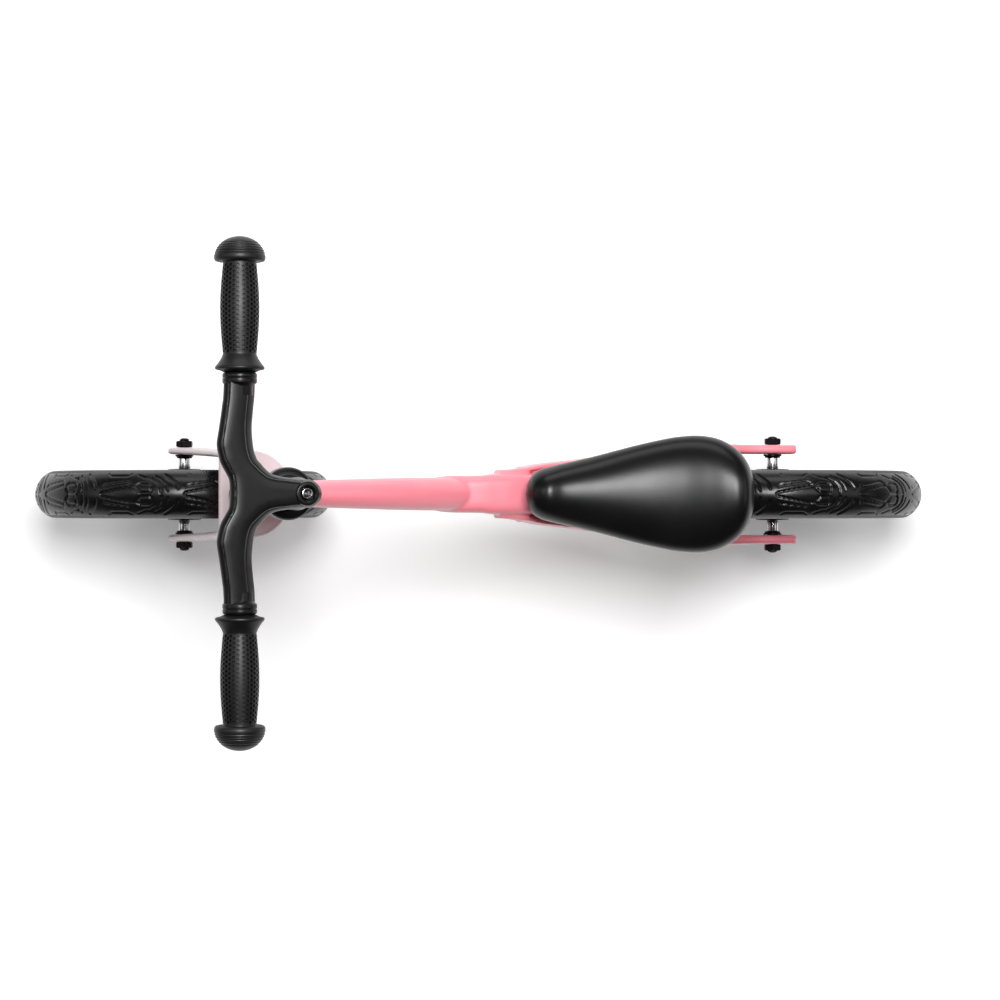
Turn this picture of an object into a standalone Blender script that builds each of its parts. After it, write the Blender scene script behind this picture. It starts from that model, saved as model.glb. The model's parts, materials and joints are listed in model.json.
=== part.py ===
"""Child's balance bike: frame, swivelling fork with quill handlebar, two foam-tyred wheels, sliding seat.

Metres, +Z up. +X is the way it rides and +Y is the rider's left. The origin is on the ground,
midway between the axles.
"""

import math

import bmesh
import bpy
from mathutils import Matrix, Vector

# Driving dimensions
GAP = 0.0003
WHEEL_R = 0.142
TYRE_HALF = 0.0225
AXLE_X = 0.2838
AXLE_Z = WHEEL_R
HEAD_ANGLE = math.radians(19)
STEER_FOOT_X = 0.3190
SEAT_ANGLE = math.radians(15)
SEAT_FOOT = Vector((-0.108, 0, 0.165))

# Wheels and axles
SEAT_FACE_R = 0.1045
RIM_IN_R = 0.0955
RIM_HALF = 0.0145
HUB_R = 0.0165
HUB_HALF = 0.0245
BEARING_R = 0.013
BEARING_WIDE = 0.008
AXLE_R = 0.0046
AXLE_BORE_R = AXLE_R + GAP
SPACER_R = 0.0056
SLEEVE_R = 0.0065
WASHER_R = 0.00875
WASHER_THICK = 0.0033
NUT_ACROSS = 0.015
NUT_THICK = 0.006
SPOKES = 8

# Fork and headset, measured up the steering axis from the ground
LEG_THICK = 0.0068
LEG_OUT_AXLE = 0.0454
LEG_OUT_CROWN = 0.0387
CROWN_TOP = 0.349
CROWN_DEEP = 0.030
CROWN_HALF = 0.0389
CROWN_FRONT = 0.026
CROWN_FRONT_LOW = 0.019
HEAD_LOW = 0.3643
HEAD_HIGH = 0.478
HEAD_R = 0.018
HEAD_BORE_R = 0.015
CUP_R = 0.0195
STEERER_R = 0.0127
STEERER_BORE_R = 0.0114
STEERER_TOP = 0.4975
COVER_R = 0.0224
COVER_TOP = 0.5015

# Handlebar
BAR_HALF = 0.210
BAR_AXIS_X = 0.1915
BAR_Z = 0.537
BAR_CORE_R = 0.011
COLLAR_IN = 0.0893
GRIP_IN = 0.0985
GRIP_FLANGE = 0.017
GRIP_CAP = 0.0212
DOME_R = 0.021
DOME_LONG = 0.0176
BOSS_LOW = 0.508
BOSS_TOP = 0.5615
BOLT_RECESS = 0.0078
QUILL_R = 0.0111
QUILL_BORE_R = 0.0085
QUILL_LOW = 0.435
BOLT_R = 0.003
BOLT_HEAD_R = 0.005

# Frame
SEAT_TUBE_R = 0.0159
SEAT_TUBE_BORE_R = 0.0130
SEAT_TUBE_LONG = 0.142
POST_R = 0.0127
ARM_THICK = 0.0088
ARM_OUT = 0.04785

# Seat
SEAT_NOSE_X = -0.0438
SEAT_LONG = 0.2009
SEAT_HALF = 0.0526
SEAT_UNDER = 0.318
BASE_UNDER = 0.3103
PLATE_UNDER = 0.3065

TURN = 36
MIDDLE_TURN = 20
SMALL_TURN = 12


def clear_scene():
    for obj in list(bpy.data.objects):
        bpy.data.objects.remove(obj, do_unlink=True)


def new_collection(name):
    group = bpy.data.collections.new(name)
    bpy.context.scene.collection.children.link(group)
    return group


def material(name, colour, roughness, metallic=0.0):
    mat = bpy.data.materials.new(name)
    mat.use_nodes = True
    shader = mat.node_tree.nodes["Principled BSDF"]
    shader.inputs["Base Color"].default_value = (*colour, 1)
    shader.inputs["Roughness"].default_value = roughness
    shader.inputs["Metallic"].default_value = metallic
    return mat


clear_scene()
PARTS = new_collection("balance_bike")
TOOLS = new_collection("construction")

PINK = material("pink_powder_coat", (0.93, 0.32, 0.38), 0.32)
PALE_PINK = material("pale_pink_paint", (0.78, 0.62, 0.63), 0.35)
BLACK = material("black_satin_plastic", (0.02, 0.02, 0.021), 0.4)
SOFT_BLACK = material("black_soft_grip", (0.025, 0.025, 0.026), 0.62)
FOAM = material("black_eva_foam", (0.02, 0.02, 0.02), 0.5)
SEAT_BLACK = material("black_seat_skin", (0.018, 0.018, 0.02), 0.36)
RIM_BLACK = material("black_nylon_rim", (0.03, 0.03, 0.03), 0.45)
BLACK_STEEL = material("black_plated_steel", (0.03, 0.03, 0.03), 0.35, 1.0)
STEEL = material("bright_steel", (0.62, 0.62, 0.63), 0.25, 1.0)


def steer(forward, side, up):
    """A point given across and up the steering axis, as a point of the bike."""
    sin, cos = math.sin(HEAD_ANGLE), math.cos(HEAD_ANGLE)
    return Vector((STEER_FOOT_X + forward * cos - up * sin, side, forward * sin + up * cos))


def empty(name, location, rotation):
    obj = bpy.data.objects.new(name, None)
    obj.location = location
    obj.rotation_euler = rotation
    PARTS.objects.link(obj)
    return obj


STEER_AXIS = empty("steering_axis", (STEER_FOOT_X, 0, 0), (0, -HEAD_ANGLE, 0))
SEAT_AXIS = empty("seat_axis", SEAT_FOOT, (0, -SEAT_ANGLE, 0))
FRONT_AXIS = empty("front_axle_axis", (AXLE_X, 0, AXLE_Z), (-math.pi / 2, 0, 0))
REAR_AXIS = empty("rear_axle_axis", (-AXLE_X, 0, AXLE_Z), (-math.pi / 2, 0, 0))


def place(name, mesh, mat, parent=None, tool=False):
    obj = bpy.data.objects.new(name, mesh)
    mesh.materials.append(mat)
    (TOOLS if tool else PARTS).objects.link(obj)
    obj.parent = parent
    if tool:
        obj.hide_render = True
        obj.display_type = "WIRE"
    return obj


def mesh_from(name, bm):
    bmesh.ops.recalc_face_normals(bm, faces=bm.faces)
    mesh = bpy.data.meshes.new(name)
    bm.to_mesh(mesh)
    bm.free()
    mesh.shade_smooth()
    mesh.set_sharp_from_angle(angle=math.radians(35))
    return mesh


def turned(name, profile, mat, parent=None, ring=False, steps=TURN, tool=False):
    """Turn (radius, height) points about Z. The points run down the outer side; a ring is closed."""
    bm = bmesh.new()
    verts = [bm.verts.new((radius, 0, height)) for radius, height in profile]
    pairs = list(zip(verts, verts[1:]))
    if ring:
        pairs.append((verts[-1], verts[0]))
    for pair in pairs:
        bm.edges.new(pair)
    mesh = bpy.data.meshes.new(name)
    bm.to_mesh(mesh)
    bm.free()
    obj = place(name, mesh, mat, parent, tool)
    screw = obj.modifiers.new("turn", "SCREW")
    screw.steps = steps
    screw.render_steps = steps
    screw.use_merge_vertices = True
    screw.merge_threshold = 0.00005
    screw.use_smooth_shade = True
    return obj


def tube(name, low, high, outer, inner, mat, parent=None, steps=TURN, tool=False):
    profile = [(inner, high), (outer, high), (outer, low), (inner, low)]
    return turned(name, profile, mat, parent, True, steps, tool)


def rod(name, low, high, radius, mat, parent=None, steps=SMALL_TURN, tool=False):
    return turned(name, [(0, high), (radius, high), (radius, low), (0, low)], mat, parent, False, steps, tool)


def prism(name, points, low, high, mat, parent=None, tool=False):
    """A flat outline of (x, y) points, from one height to another."""
    bm = bmesh.new()
    floor = [bm.verts.new((x, y, low)) for x, y in points]
    roof = [bm.verts.new((x, y, high)) for x, y in points]
    bm.faces.new(floor)
    bm.faces.new(roof)
    count = len(points)
    for i in range(count):
        j = (i + 1) % count
        bm.faces.new((floor[i], floor[j], roof[j], roof[i]))
    return place(name, mesh_from(name, bm), mat, parent, tool)


def box(name, low, high, mat, parent=None, tool=False):
    bm = bmesh.new()
    middle = [(a + b) / 2 for a, b in zip(low, high)]
    size = [b - a for a, b in zip(low, high)]
    bmesh.ops.create_cube(bm, size=1, matrix=Matrix.LocRotScale(middle, None, size))
    return place(name, mesh_from(name, bm), mat, parent, tool)


def loft(name, rings, mat, parent=None, tool=False):
    """A skin over rings of equal count, closed flat at both ends."""
    bm = bmesh.new()
    loops = [[bm.verts.new(point) for point in ring] for ring in rings]
    for near, far in zip(loops, loops[1:]):
        for i in range(len(near)):
            j = (i + 1) % len(near)
            bm.faces.new((near[i], near[j], far[j], far[i]))
    bm.faces.new(loops[0])
    bm.faces.new(loops[-1])
    return place(name, mesh_from(name, bm), mat, parent, tool)


def oval(centre, wide, tall, half_wide, half_tall, power=2.0, count=16):
    """A ring round a centre: power 2 is an ellipse, and a higher power a rounded rectangle."""
    points = []
    for i in range(count):
        angle = 2 * math.pi * (i + 0.5) / count
        cos, sin = math.cos(angle), math.sin(angle)
        across = half_wide * math.copysign(abs(cos) ** (2 / power), cos)
        up = half_tall * math.copysign(abs(sin) ** (2 / power), sin)
        points.append(Vector(centre) + Vector(wide) * across + Vector(tall) * up)
    return points


def combine(target, others, operation):
    for other in others:
        modifier = target.modifiers.new(other.name, "BOOLEAN")
        modifier.operation = operation
        modifier.object = other
        modifier.solver = "EXACT"


def between(points, at):
    """The value at a place on the straight lines through (place, value) points in rising order."""
    for (x0, y0), (x1, y1) in zip(points, points[1:]):
        if at <= x1:
            return y0 + (y1 - y0) * max(0.0, at - x0) / (x1 - x0)
    return points[-1][1]


def rise(angle):
    """The direction along the bike that climbs forward at this angle, and the one square to it."""
    return Vector((math.cos(angle), 0, math.sin(angle))), Vector((-math.sin(angle), 0, math.cos(angle)))


# Frame

def top_tube():
    """It falls from the head tube to the deck, steeper and wider as it goes."""
    half_wide = [(-0.02, 0.0147), (0.0335, 0.01475), (0.066, 0.014), (0.135, 0.0115), (0.17, 0.0115)]
    rings = []
    for step in range(8):
        x = 0.161 - step * 0.0249
        slope = 0.915 + 5.48 * (0.07 - x)
        crest = 0.384 + 0.915 * (x - 0.07) - 5.48 / 2 * (x - 0.07) ** 2
        across, up = rise(math.atan(slope))
        centre = Vector((x, 0, crest)) - up * 0.0172
        rings.append(oval(centre, (0, 1, 0), up, between(half_wide, x), 0.0172, 2.3, 16))
    return loft("top_tube", rings, PINK, tool=True)


def deck():
    """The flat-topped beam from under the top tube to the seat tube."""
    # Each station: place along the bike, top, height, half-width
    stations = [
        (0.0520, 0.3290, 0.022, 0.0105),
        (0.0400, 0.3230, 0.032, 0.0145),
        (0.0250, 0.3180, 0.042, 0.0166),
        (-0.0030, 0.3130, 0.048, 0.0171),
        (-0.0160, 0.3100, 0.049, 0.0185),
        (-0.0450, 0.3010, 0.051, 0.0185),
        (-0.0800, 0.2850, 0.052, 0.0180),
        (-0.1050, 0.2710, 0.050, 0.0170),
        (-0.1260, 0.2600, 0.046, 0.0140),
    ]
    rings = []
    for x, top, height, half_wide in stations:
        centre = (x, 0, top - height / 2)
        rings.append(oval(centre, (0, 1, 0), (0, 0, 1), half_wide, height / 2, 4.5, 16))
    return loft("deck", rings, PINK, tool=True)


def rear_arm(side):
    """A flat blade from the deck's side to the rear axle."""
    # Each station: place along the bike, height of its middle, outer half-width, thickness, depth
    stations = [
        (-0.0180, 0.2800, 0.0220, 0.0040, 0.036),
        (-0.0280, 0.2775, 0.0226, 0.0042, 0.036),
        (-0.0400, 0.2730, 0.0244, 0.0040, 0.035),
        (-0.0570, 0.2640, 0.0280, 0.0045, 0.034),
        (-0.0940, 0.2420, 0.0327, 0.0060, 0.032),
        (-0.1500, 0.2070, 0.0402, 0.0075, 0.030),
        (-0.1950, 0.1790, 0.0462, 0.0086, 0.029),
        (-0.2250, 0.1620, 0.0482, 0.0088, 0.029),
        (-0.2550, 0.1480, 0.0479, 0.0088, 0.031),
        (-0.2838, 0.1420, 0.0478, 0.0088, 0.036),
        (-0.3020, 0.1400, 0.0478, 0.0088, 0.032),
        (-0.3056, 0.1398, 0.0478, 0.0084, 0.024),
    ]
    rings = []
    for i, (x, z, outer, thick, deep) in enumerate(stations):
        before = stations[max(i - 1, 0)]
        after = stations[min(i + 1, len(stations) - 1)]
        angle = math.atan2(before[1] - after[1], before[0] - after[0])
        up = rise(angle * 0.8)[1]
        centre = (x, side * (outer - thick / 2), z)
        rings.append(oval(centre, (0, side, 0), up, thick / 2, deep / 2, 4.5, 12))
    return loft("rear_arm", rings, PINK, tool=True)


def axle_slot(name, x, z, half):
    """The slot that an axle drops into, open at the bottom."""
    points = [(-AXLE_BORE_R, -0.03), (AXLE_BORE_R, -0.03)]
    for step in range(9):
        angle = math.pi * step / 8
        points.append((AXLE_BORE_R * math.cos(angle), AXLE_BORE_R * math.sin(angle)))
    slot = prism(name, points, -half, half, PINK, tool=True)
    slot.rotation_euler = (math.pi / 2, 0, 0)
    slot.location = (x, 0, z)
    return slot


def bridge(name, x, z, half_long, half_deep, half_wide):
    """A flattened bar across the bike that ties both arms to what lies between them."""
    along, up = Vector((1, 0, 0)), Vector((0, 0, 1))
    rings = [oval(Vector((x, y, z)), along, up, half_long, half_deep, 2.6) for y in (-half_wide, half_wide)]
    return loft(name, rings, PINK, tool=True)


def frame():
    head = rod("frame", HEAD_LOW, HEAD_HIGH, HEAD_R, PINK, STEER_AXIS, MIDDLE_TURN)
    seat_tube = rod("seat_tube", 0.024, SEAT_TUBE_LONG, SEAT_TUBE_R, PINK, SEAT_AXIS, MIDDLE_TURN, tool=True)
    front_bridge = bridge("front_bridge", -0.0560, 0.2640, 0.0195, 0.0085, 0.0255)
    rear_bridge = bridge("rear_bridge", -0.1165, 0.2270, 0.0080, 0.0075, 0.0320)
    arms = [rear_arm(1), rear_arm(-1)]
    combine(head, [top_tube(), deck(), *arms, front_bridge, rear_bridge, seat_tube], "UNION")
    head_bore = rod("head_bore", 0.36, 0.49, HEAD_BORE_R, PINK, STEER_AXIS, MIDDLE_TURN, tool=True)
    head_bore.rotation_euler = (0, 0, math.pi / MIDDLE_TURN)
    seat_bore = rod("seat_bore", -0.02, 0.16, SEAT_TUBE_BORE_R, PINK, SEAT_AXIS, MIDDLE_TURN, tool=True)
    slot = axle_slot("rear_axle_slot", -AXLE_X, AXLE_Z, 0.06)
    combine(head, [head_bore, seat_bore, slot], "DIFFERENCE")
    return head


# Fork

def crown_outline(front, up):
    """Straight across the front, with small corners, and a half ellipse behind."""
    corner = 0.006
    points = []
    for step in range(5):
        angle = math.pi / 2 * step / 4
        points.append((front - corner + corner * math.cos(angle), CROWN_HALF - corner + corner * math.sin(angle)))
    for step in range(13):
        angle = math.pi / 2 + math.pi * step / 12
        points.append((-0.006 + 0.036 * math.cos(angle), CROWN_HALF * math.sin(angle)))
    for step in range(5):
        angle = math.pi / 2 * (1 - step / 4)
        points.append((front - corner + corner * math.cos(angle), -(CROWN_HALF - corner + corner * math.sin(angle))))
    return [Vector((x, y, up)) for x, y in points]


def fork_leg(side):
    # Each station: height up the steering axis, distance ahead of it, depth
    stations = [
        (0.3400, -0.0030, 0.050),
        (0.3150, -0.0030, 0.048),
        (0.2850, -0.0020, 0.039),
        (0.2400, 0.0010, 0.033),
        (0.1950, 0.0065, 0.030),
        (0.1600, 0.0115, 0.0308),
        (0.1457, 0.0130, 0.0312),
        (0.1377, 0.0130, 0.0268),
        (0.1325, 0.0130, 0.0166),
        (0.1306, 0.0130, 0.0070),
    ]
    rings = []
    for up, ahead, deep in stations:
        outer = between([(0.150, LEG_OUT_AXLE), (0.335, LEG_OUT_CROWN)], up)
        centre = steer(ahead, side * (outer - LEG_THICK / 2), up)
        forward = steer(1, 0, 0) - steer(0, 0, 0)
        rings.append(oval(centre, (0, side, 0), forward, LEG_THICK / 2, deep / 2, 4.0, 12))
    return loft("fork_leg", rings, PALE_PINK, tool=True)


def fork():
    # The front face stands upright, so it is cut back below against the lean of the axis
    outlines = [crown_outline(CROWN_FRONT_LOW, CROWN_TOP - CROWN_DEEP), crown_outline(CROWN_FRONT, CROWN_TOP)]
    crown = loft("fork", outlines, PALE_PINK, STEER_AXIS)
    bevel = crown.modifiers.new("round", "BEVEL")
    bevel.width = 0.004
    bevel.segments = 2
    bevel.angle_limit = math.radians(50)
    combine(crown, [fork_leg(1), fork_leg(-1)], "UNION")
    bore = rod("crown_bore", 0.30, 0.36, STEERER_R + GAP, PALE_PINK, STEER_AXIS, MIDDLE_TURN, tool=True)
    combine(crown, [bore, axle_slot("front_axle_slot", AXLE_X, AXLE_Z, 0.06)], "DIFFERENCE")
    return crown


# Headset

def headset():
    inner = STEERER_R + 0.0006
    race = CUP_R - 0.0022
    skirt = HEAD_BORE_R - GAP
    low = HEAD_LOW - GAP
    high = HEAD_HIGH + GAP
    turned("headset_cup_lower", [
        (0.0137, low + 0.008), (skirt, low + 0.008), (skirt, low), (CUP_R, low),
        (CUP_R, low - 0.0077), (race, low - 0.0077), (race, low - 0.0038), (0.0137, low - 0.0038),
    ], BLACK_STEEL, STEER_AXIS, ring=True, steps=MIDDLE_TURN)
    turned("headset_cup_upper", [
        (0.0137, high + 0.0038), (race, high + 0.0038), (race, high + 0.0077), (CUP_R, high + 0.0077),
        (CUP_R, high), (skirt, high), (skirt, high - 0.008), (0.0137, high - 0.008),
    ], BLACK_STEEL, STEER_AXIS, ring=True, steps=MIDDLE_TURN)
    bearing_low = low - 0.0041
    bearing_high = high + 0.0041
    tube("crown_race", CROWN_TOP + GAP, bearing_low - 0.0050 - GAP, 0.0165, inner, STEEL, STEER_AXIS, MIDDLE_TURN)
    tube("headset_bearing_lower", bearing_low - 0.0050, bearing_low, 0.0169, inner, STEEL, STEER_AXIS, MIDDLE_TURN)
    tube("headset_bearing_upper", bearing_high, bearing_high + 0.0050, 0.0169, inner, STEEL, STEER_AXIS, MIDDLE_TURN)
    race_top = bearing_high + 0.0050 + GAP + 0.0042
    tube("headset_race_nut", race_top - 0.0042, race_top, 0.0160, inner, STEEL, STEER_AXIS, MIDDLE_TURN)
    hexagon("headset_locknut", 0.030, race_top + GAP, STEERER_TOP, inner, BLACK_STEEL, STEER_AXIS)
    tube("steerer_tube", CROWN_TOP - CROWN_DEEP, STEERER_TOP, STEERER_R, STEERER_BORE_R, STEEL, STEER_AXIS, MIDDLE_TURN)
    hole = QUILL_R + 2 * GAP
    turned("headset_cover", [
        (hole, COVER_TOP), (0.0150, COVER_TOP), (0.0205, COVER_TOP - 0.0015), (COVER_R, COVER_TOP - 0.0045),
        (COVER_R, high + 0.0082), (COVER_R - 0.0017, high + 0.0082), (COVER_R - 0.0017, COVER_TOP - 0.0050),
        (0.0190, COVER_TOP - 0.0030), (hole, COVER_TOP - 0.0022),
    ], BLACK, STEER_AXIS, ring=True)


def hexagon(name, across, low, high, hole, mat, parent=None):
    """A hexagon nut: across the flats, with its corners chamfered on the outer face."""
    radius = across / math.sqrt(3)
    outer = prism(name, [(radius * math.cos(math.pi * i / 3), radius * math.sin(math.pi * i / 3))
                         for i in range(6)], low, high, mat, parent)
    keep = turned(name + "_chamfer", [
        (0, high + 0.001), (across / 2 * 0.93, high + 0.001), (across / 2 * 0.93, high),
        (radius * 1.01, high - 0.0013), (radius * 1.01, low - 0.001), (0, low - 0.001),
    ], mat, parent, steps=MIDDLE_TURN, tool=True)
    bore = rod(name + "_bore", low - 0.002, high + 0.002, hole, mat, parent, SMALL_TURN, tool=True)
    combine(outer, [keep], "INTERSECT")
    combine(outer, [bore], "DIFFERENCE")
    return outer


# Handlebar

BAR_ALONG = Vector((math.cos(HEAD_ANGLE), 0, math.sin(HEAD_ANGLE)))
BAR_UP = Vector((-math.sin(HEAD_ANGLE), 0, math.cos(HEAD_ANGLE)))


def bar_middle(x):
    """Height of the handlebar's middle plane, which lies square to the steering axis."""
    return BAR_Z + (x - BAR_AXIS_X) * math.tan(HEAD_ANGLE)


def crossbar():
    """The bar's own wide part, bowed forward beside the stem and running out to the collars."""
    # Each station: distance from the middle, front edge, rear edge, height
    stations = [
        (0.0000, 0.1991, 0.1700, 0.0230),
        (0.0106, 0.1999, 0.1700, 0.0230),
        (0.0163, 0.2024, 0.1712, 0.0230),
        (0.0244, 0.2065, 0.1747, 0.0228),
        (0.0326, 0.2086, 0.1789, 0.0226),
        (0.0407, 0.2097, 0.1808, 0.0224),
        (0.0530, 0.2080, 0.1820, 0.0222),
        (0.0855, 0.2043, 0.1796, 0.0220),
        (0.0950, 0.2037, 0.1795, 0.0220),
    ]
    whole = [(-y, front, rear, tall) for y, front, rear, tall in reversed(stations[1:])] + stations
    rings = []
    for y, front, rear, tall in whole:
        middle = (front + rear) / 2
        half = (front - rear) / 2 / math.cos(HEAD_ANGLE)
        rings.append(oval((middle, y, bar_middle(middle)), BAR_ALONG, BAR_UP, half, tall / 2, 2.6, 16))
    return loft("handlebar", rings, BLACK)


def stem():
    """From the boss to the bar, flaring into it."""
    # Each station: place along the bike, half-width, thickness
    stations = [
        (0.1300, 0.0116, 0.0220),
        (0.1450, 0.0123, 0.0225),
        (0.1600, 0.0132, 0.0228),
        (0.1700, 0.0163, 0.0228),
        (0.1850, 0.0260, 0.0220),
    ]
    rings = []
    for x, half_wide, thick in stations:
        rings.append(oval((x, 0, bar_middle(x)), (0, 1, 0), BAR_UP, half_wide, thick / 2, 2.8, 16))
    return loft("stem", rings, BLACK, tool=True)


def handlebar():
    bar = crossbar()
    boss = turned("stem_boss", [
        (0, BOSS_TOP), (0.0106, BOSS_TOP), (0.0120, BOSS_TOP - 0.0016), (0.0124, BOSS_TOP - 0.020),
        (0.0138, BOSS_TOP - 0.034), (0.0138, BOSS_LOW), (0, BOSS_LOW),
    ], BLACK, STEER_AXIS, steps=MIDDLE_TURN, tool=True)
    ends = rod("bar_core", -0.200, 0.200, BAR_CORE_R, BLACK, None, SMALL_TURN, tool=True)
    ends.rotation_euler = (math.pi / 2, 0, 0)
    ends.location = (BAR_AXIS_X, 0, BAR_Z)
    collars = []
    for side in (1, -1):
        collar = rod("bar_collar", COLLAR_IN, GRIP_IN, 0.01425, BLACK, None, MIDDLE_TURN, tool=True)
        collar.rotation_euler = (-side * math.pi / 2, 0, 0)
        collar.location = (BAR_AXIS_X, 0, BAR_Z)
        collars.append(collar)
    combine(bar, [stem(), boss, *collars, ends], "UNION")
    socket = rod("quill_socket", 0.49, 0.5280, QUILL_R + GAP, BLACK, STEER_AXIS, MIDDLE_TURN, tool=True)
    counterbore = rod("bolt_counterbore", BOSS_TOP - BOLT_RECESS, 0.60, 0.0065, BLACK, STEER_AXIS, MIDDLE_TURN, tool=True)
    bolt_hole = rod("bolt_hole", 0.49, 0.60, BOLT_R + GAP, BLACK, STEER_AXIS, SMALL_TURN, tool=True)
    combine(bar, [socket, counterbore, bolt_hole], "DIFFERENCE")


def slant(name, up, size):
    """A block whose upper face leans back across the steering axis, to cut the wedge and the quill."""
    bm = bmesh.new()
    bmesh.ops.create_cube(bm, size=size)
    bmesh.ops.translate(bm, vec=(0, 0, size / 2), verts=bm.verts)
    obj = place(name, mesh_from(name, bm), STEEL, STEER_AXIS, tool=True)
    obj.location = (0, 0, up)
    obj.rotation_euler = (0, math.radians(32), 0)
    return obj


def quill():
    quill_tube = tube("quill_tube", 0.4200, 0.5277, QUILL_R, QUILL_BORE_R, STEEL, STEER_AXIS, MIDDLE_TURN)
    keep = slant("quill_slant", QUILL_LOW + 0.0006, 0.25)
    combine(quill_tube, [keep], "INTERSECT")
    wedge = rod("quill_wedge", 0.405, 0.452, QUILL_R - GAP, STEEL, STEER_AXIS, MIDDLE_TURN)
    above = slant("wedge_slant", QUILL_LOW, 0.25)
    hole = rod("wedge_hole", 0.39, 0.46, BOLT_R + GAP, STEEL, STEER_AXIS, SMALL_TURN, tool=True)
    combine(wedge, [above, hole], "DIFFERENCE")
    head_low = BOSS_TOP - BOLT_RECESS + GAP
    bolt = turned("stem_bolt", [
        (0, head_low + 0.006), (BOLT_HEAD_R - 0.0006, head_low + 0.006), (BOLT_HEAD_R, head_low + 0.0054),
        (BOLT_HEAD_R, head_low), (BOLT_R, head_low), (BOLT_R, 0.408), (0, 0.408),
    ], STEEL, STEER_AXIS, steps=SMALL_TURN)
    key = prism("hex_key", [(0.0031 * math.cos(math.pi * i / 3), 0.0031 * math.sin(math.pi * i / 3))
                            for i in range(6)], head_low + 0.0025, head_low + 0.01, STEEL, STEER_AXIS, tool=True)
    combine(bolt, [key], "DIFFERENCE")


def grip(side, name):
    """Flange, barrel and mushroom end, bored for the bar and closed at the outer end."""
    bore = BAR_CORE_R + GAP
    body_low = GRIP_IN + GAP + GRIP_FLANGE
    cap_low = BAR_HALF - GRIP_CAP
    profile = [(0, BAR_HALF)]
    for step in range(1, 6):
        angle = math.pi / 2 * step / 5
        profile.append((DOME_R * math.sin(angle), BAR_HALF - DOME_LONG * (1 - math.cos(angle))))
    profile += [(0.0192, cap_low + 0.0010), (0.0139, cap_low)]
    for step in range(5):
        part = step / 4
        radius = 0.01325 + (0.01575 - 0.01325) * math.sin(math.pi * part)
        profile.append((radius, cap_low - 0.0015 - part * (cap_low - 0.0015 - body_low - 0.002)))
    profile += [
        (0.0140, body_low + 0.0002), (0.0159, body_low - 0.0058), (0.0178, body_low - 0.0098),
        (0.0200, body_low - 0.0138), (0.0202, body_low - 0.0155), (0.0190, body_low - 0.0168),
        (0.0128, GRIP_IN + GAP),
        (bore, GRIP_IN + GAP), (bore, 0.2003), (0, 0.2003),
    ]
    obj = turned(name, profile, SOFT_BLACK, None, steps=MIDDLE_TURN)
    obj.location = (BAR_AXIS_X, 0, BAR_Z)
    obj.rotation_euler = (-side * math.pi / 2, 0, 0)


# Wheels

def tyre_profile():
    """Half-round crown over narrower side walls, seated flat on the rim."""
    shoulder = WHEEL_R - 0.0195
    points = []
    for step in range(9):
        angle = math.pi * step / 8
        cos, sin = math.cos(angle), math.sin(angle)
        across = TYRE_HALF * math.copysign(abs(cos) ** 1.06, cos)
        points.append((shoulder + 0.0195 * abs(sin) ** 1.06, across))
    points += [(0.1100, -0.0195), (SEAT_FACE_R, -0.0148), (SEAT_FACE_R, 0.0148), (0.1100, 0.0195)]
    return points


def spokes(name, axis):
    """Tapered flat spokes as one set of separate bars, from inside the hub to inside the rim."""
    bm = bmesh.new()
    for step in range(SPOKES):
        turn = Matrix.Rotation(2 * math.pi * (step + 0.5) / SPOKES, 3, "Z")
        loops = []
        for radius, half_wide, half_thick in ((0.0140, 0.0050, 0.0120), (0.0450, 0.0062, 0.0085),
                                              (0.0750, 0.0075, 0.0075), (0.1000, 0.0120, 0.0075)):
            corners = [(radius, y, z) for y, z in
                       ((-half_wide, -half_thick), (half_wide, -half_thick),
                        (half_wide, half_thick), (-half_wide, half_thick))]
            loops.append([bm.verts.new(turn @ Vector(corner)) for corner in corners])
        for near, far in zip(loops, loops[1:]):
            for i in range(4):
                j = (i + 1) % 4
                bm.faces.new((near[i], near[j], far[j], far[i]))
        bm.faces.new(loops[0])
        bm.faces.new(loops[-1])
    return place(name, mesh_from(name, bm), RIM_BLACK, axis, tool=True)


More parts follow.
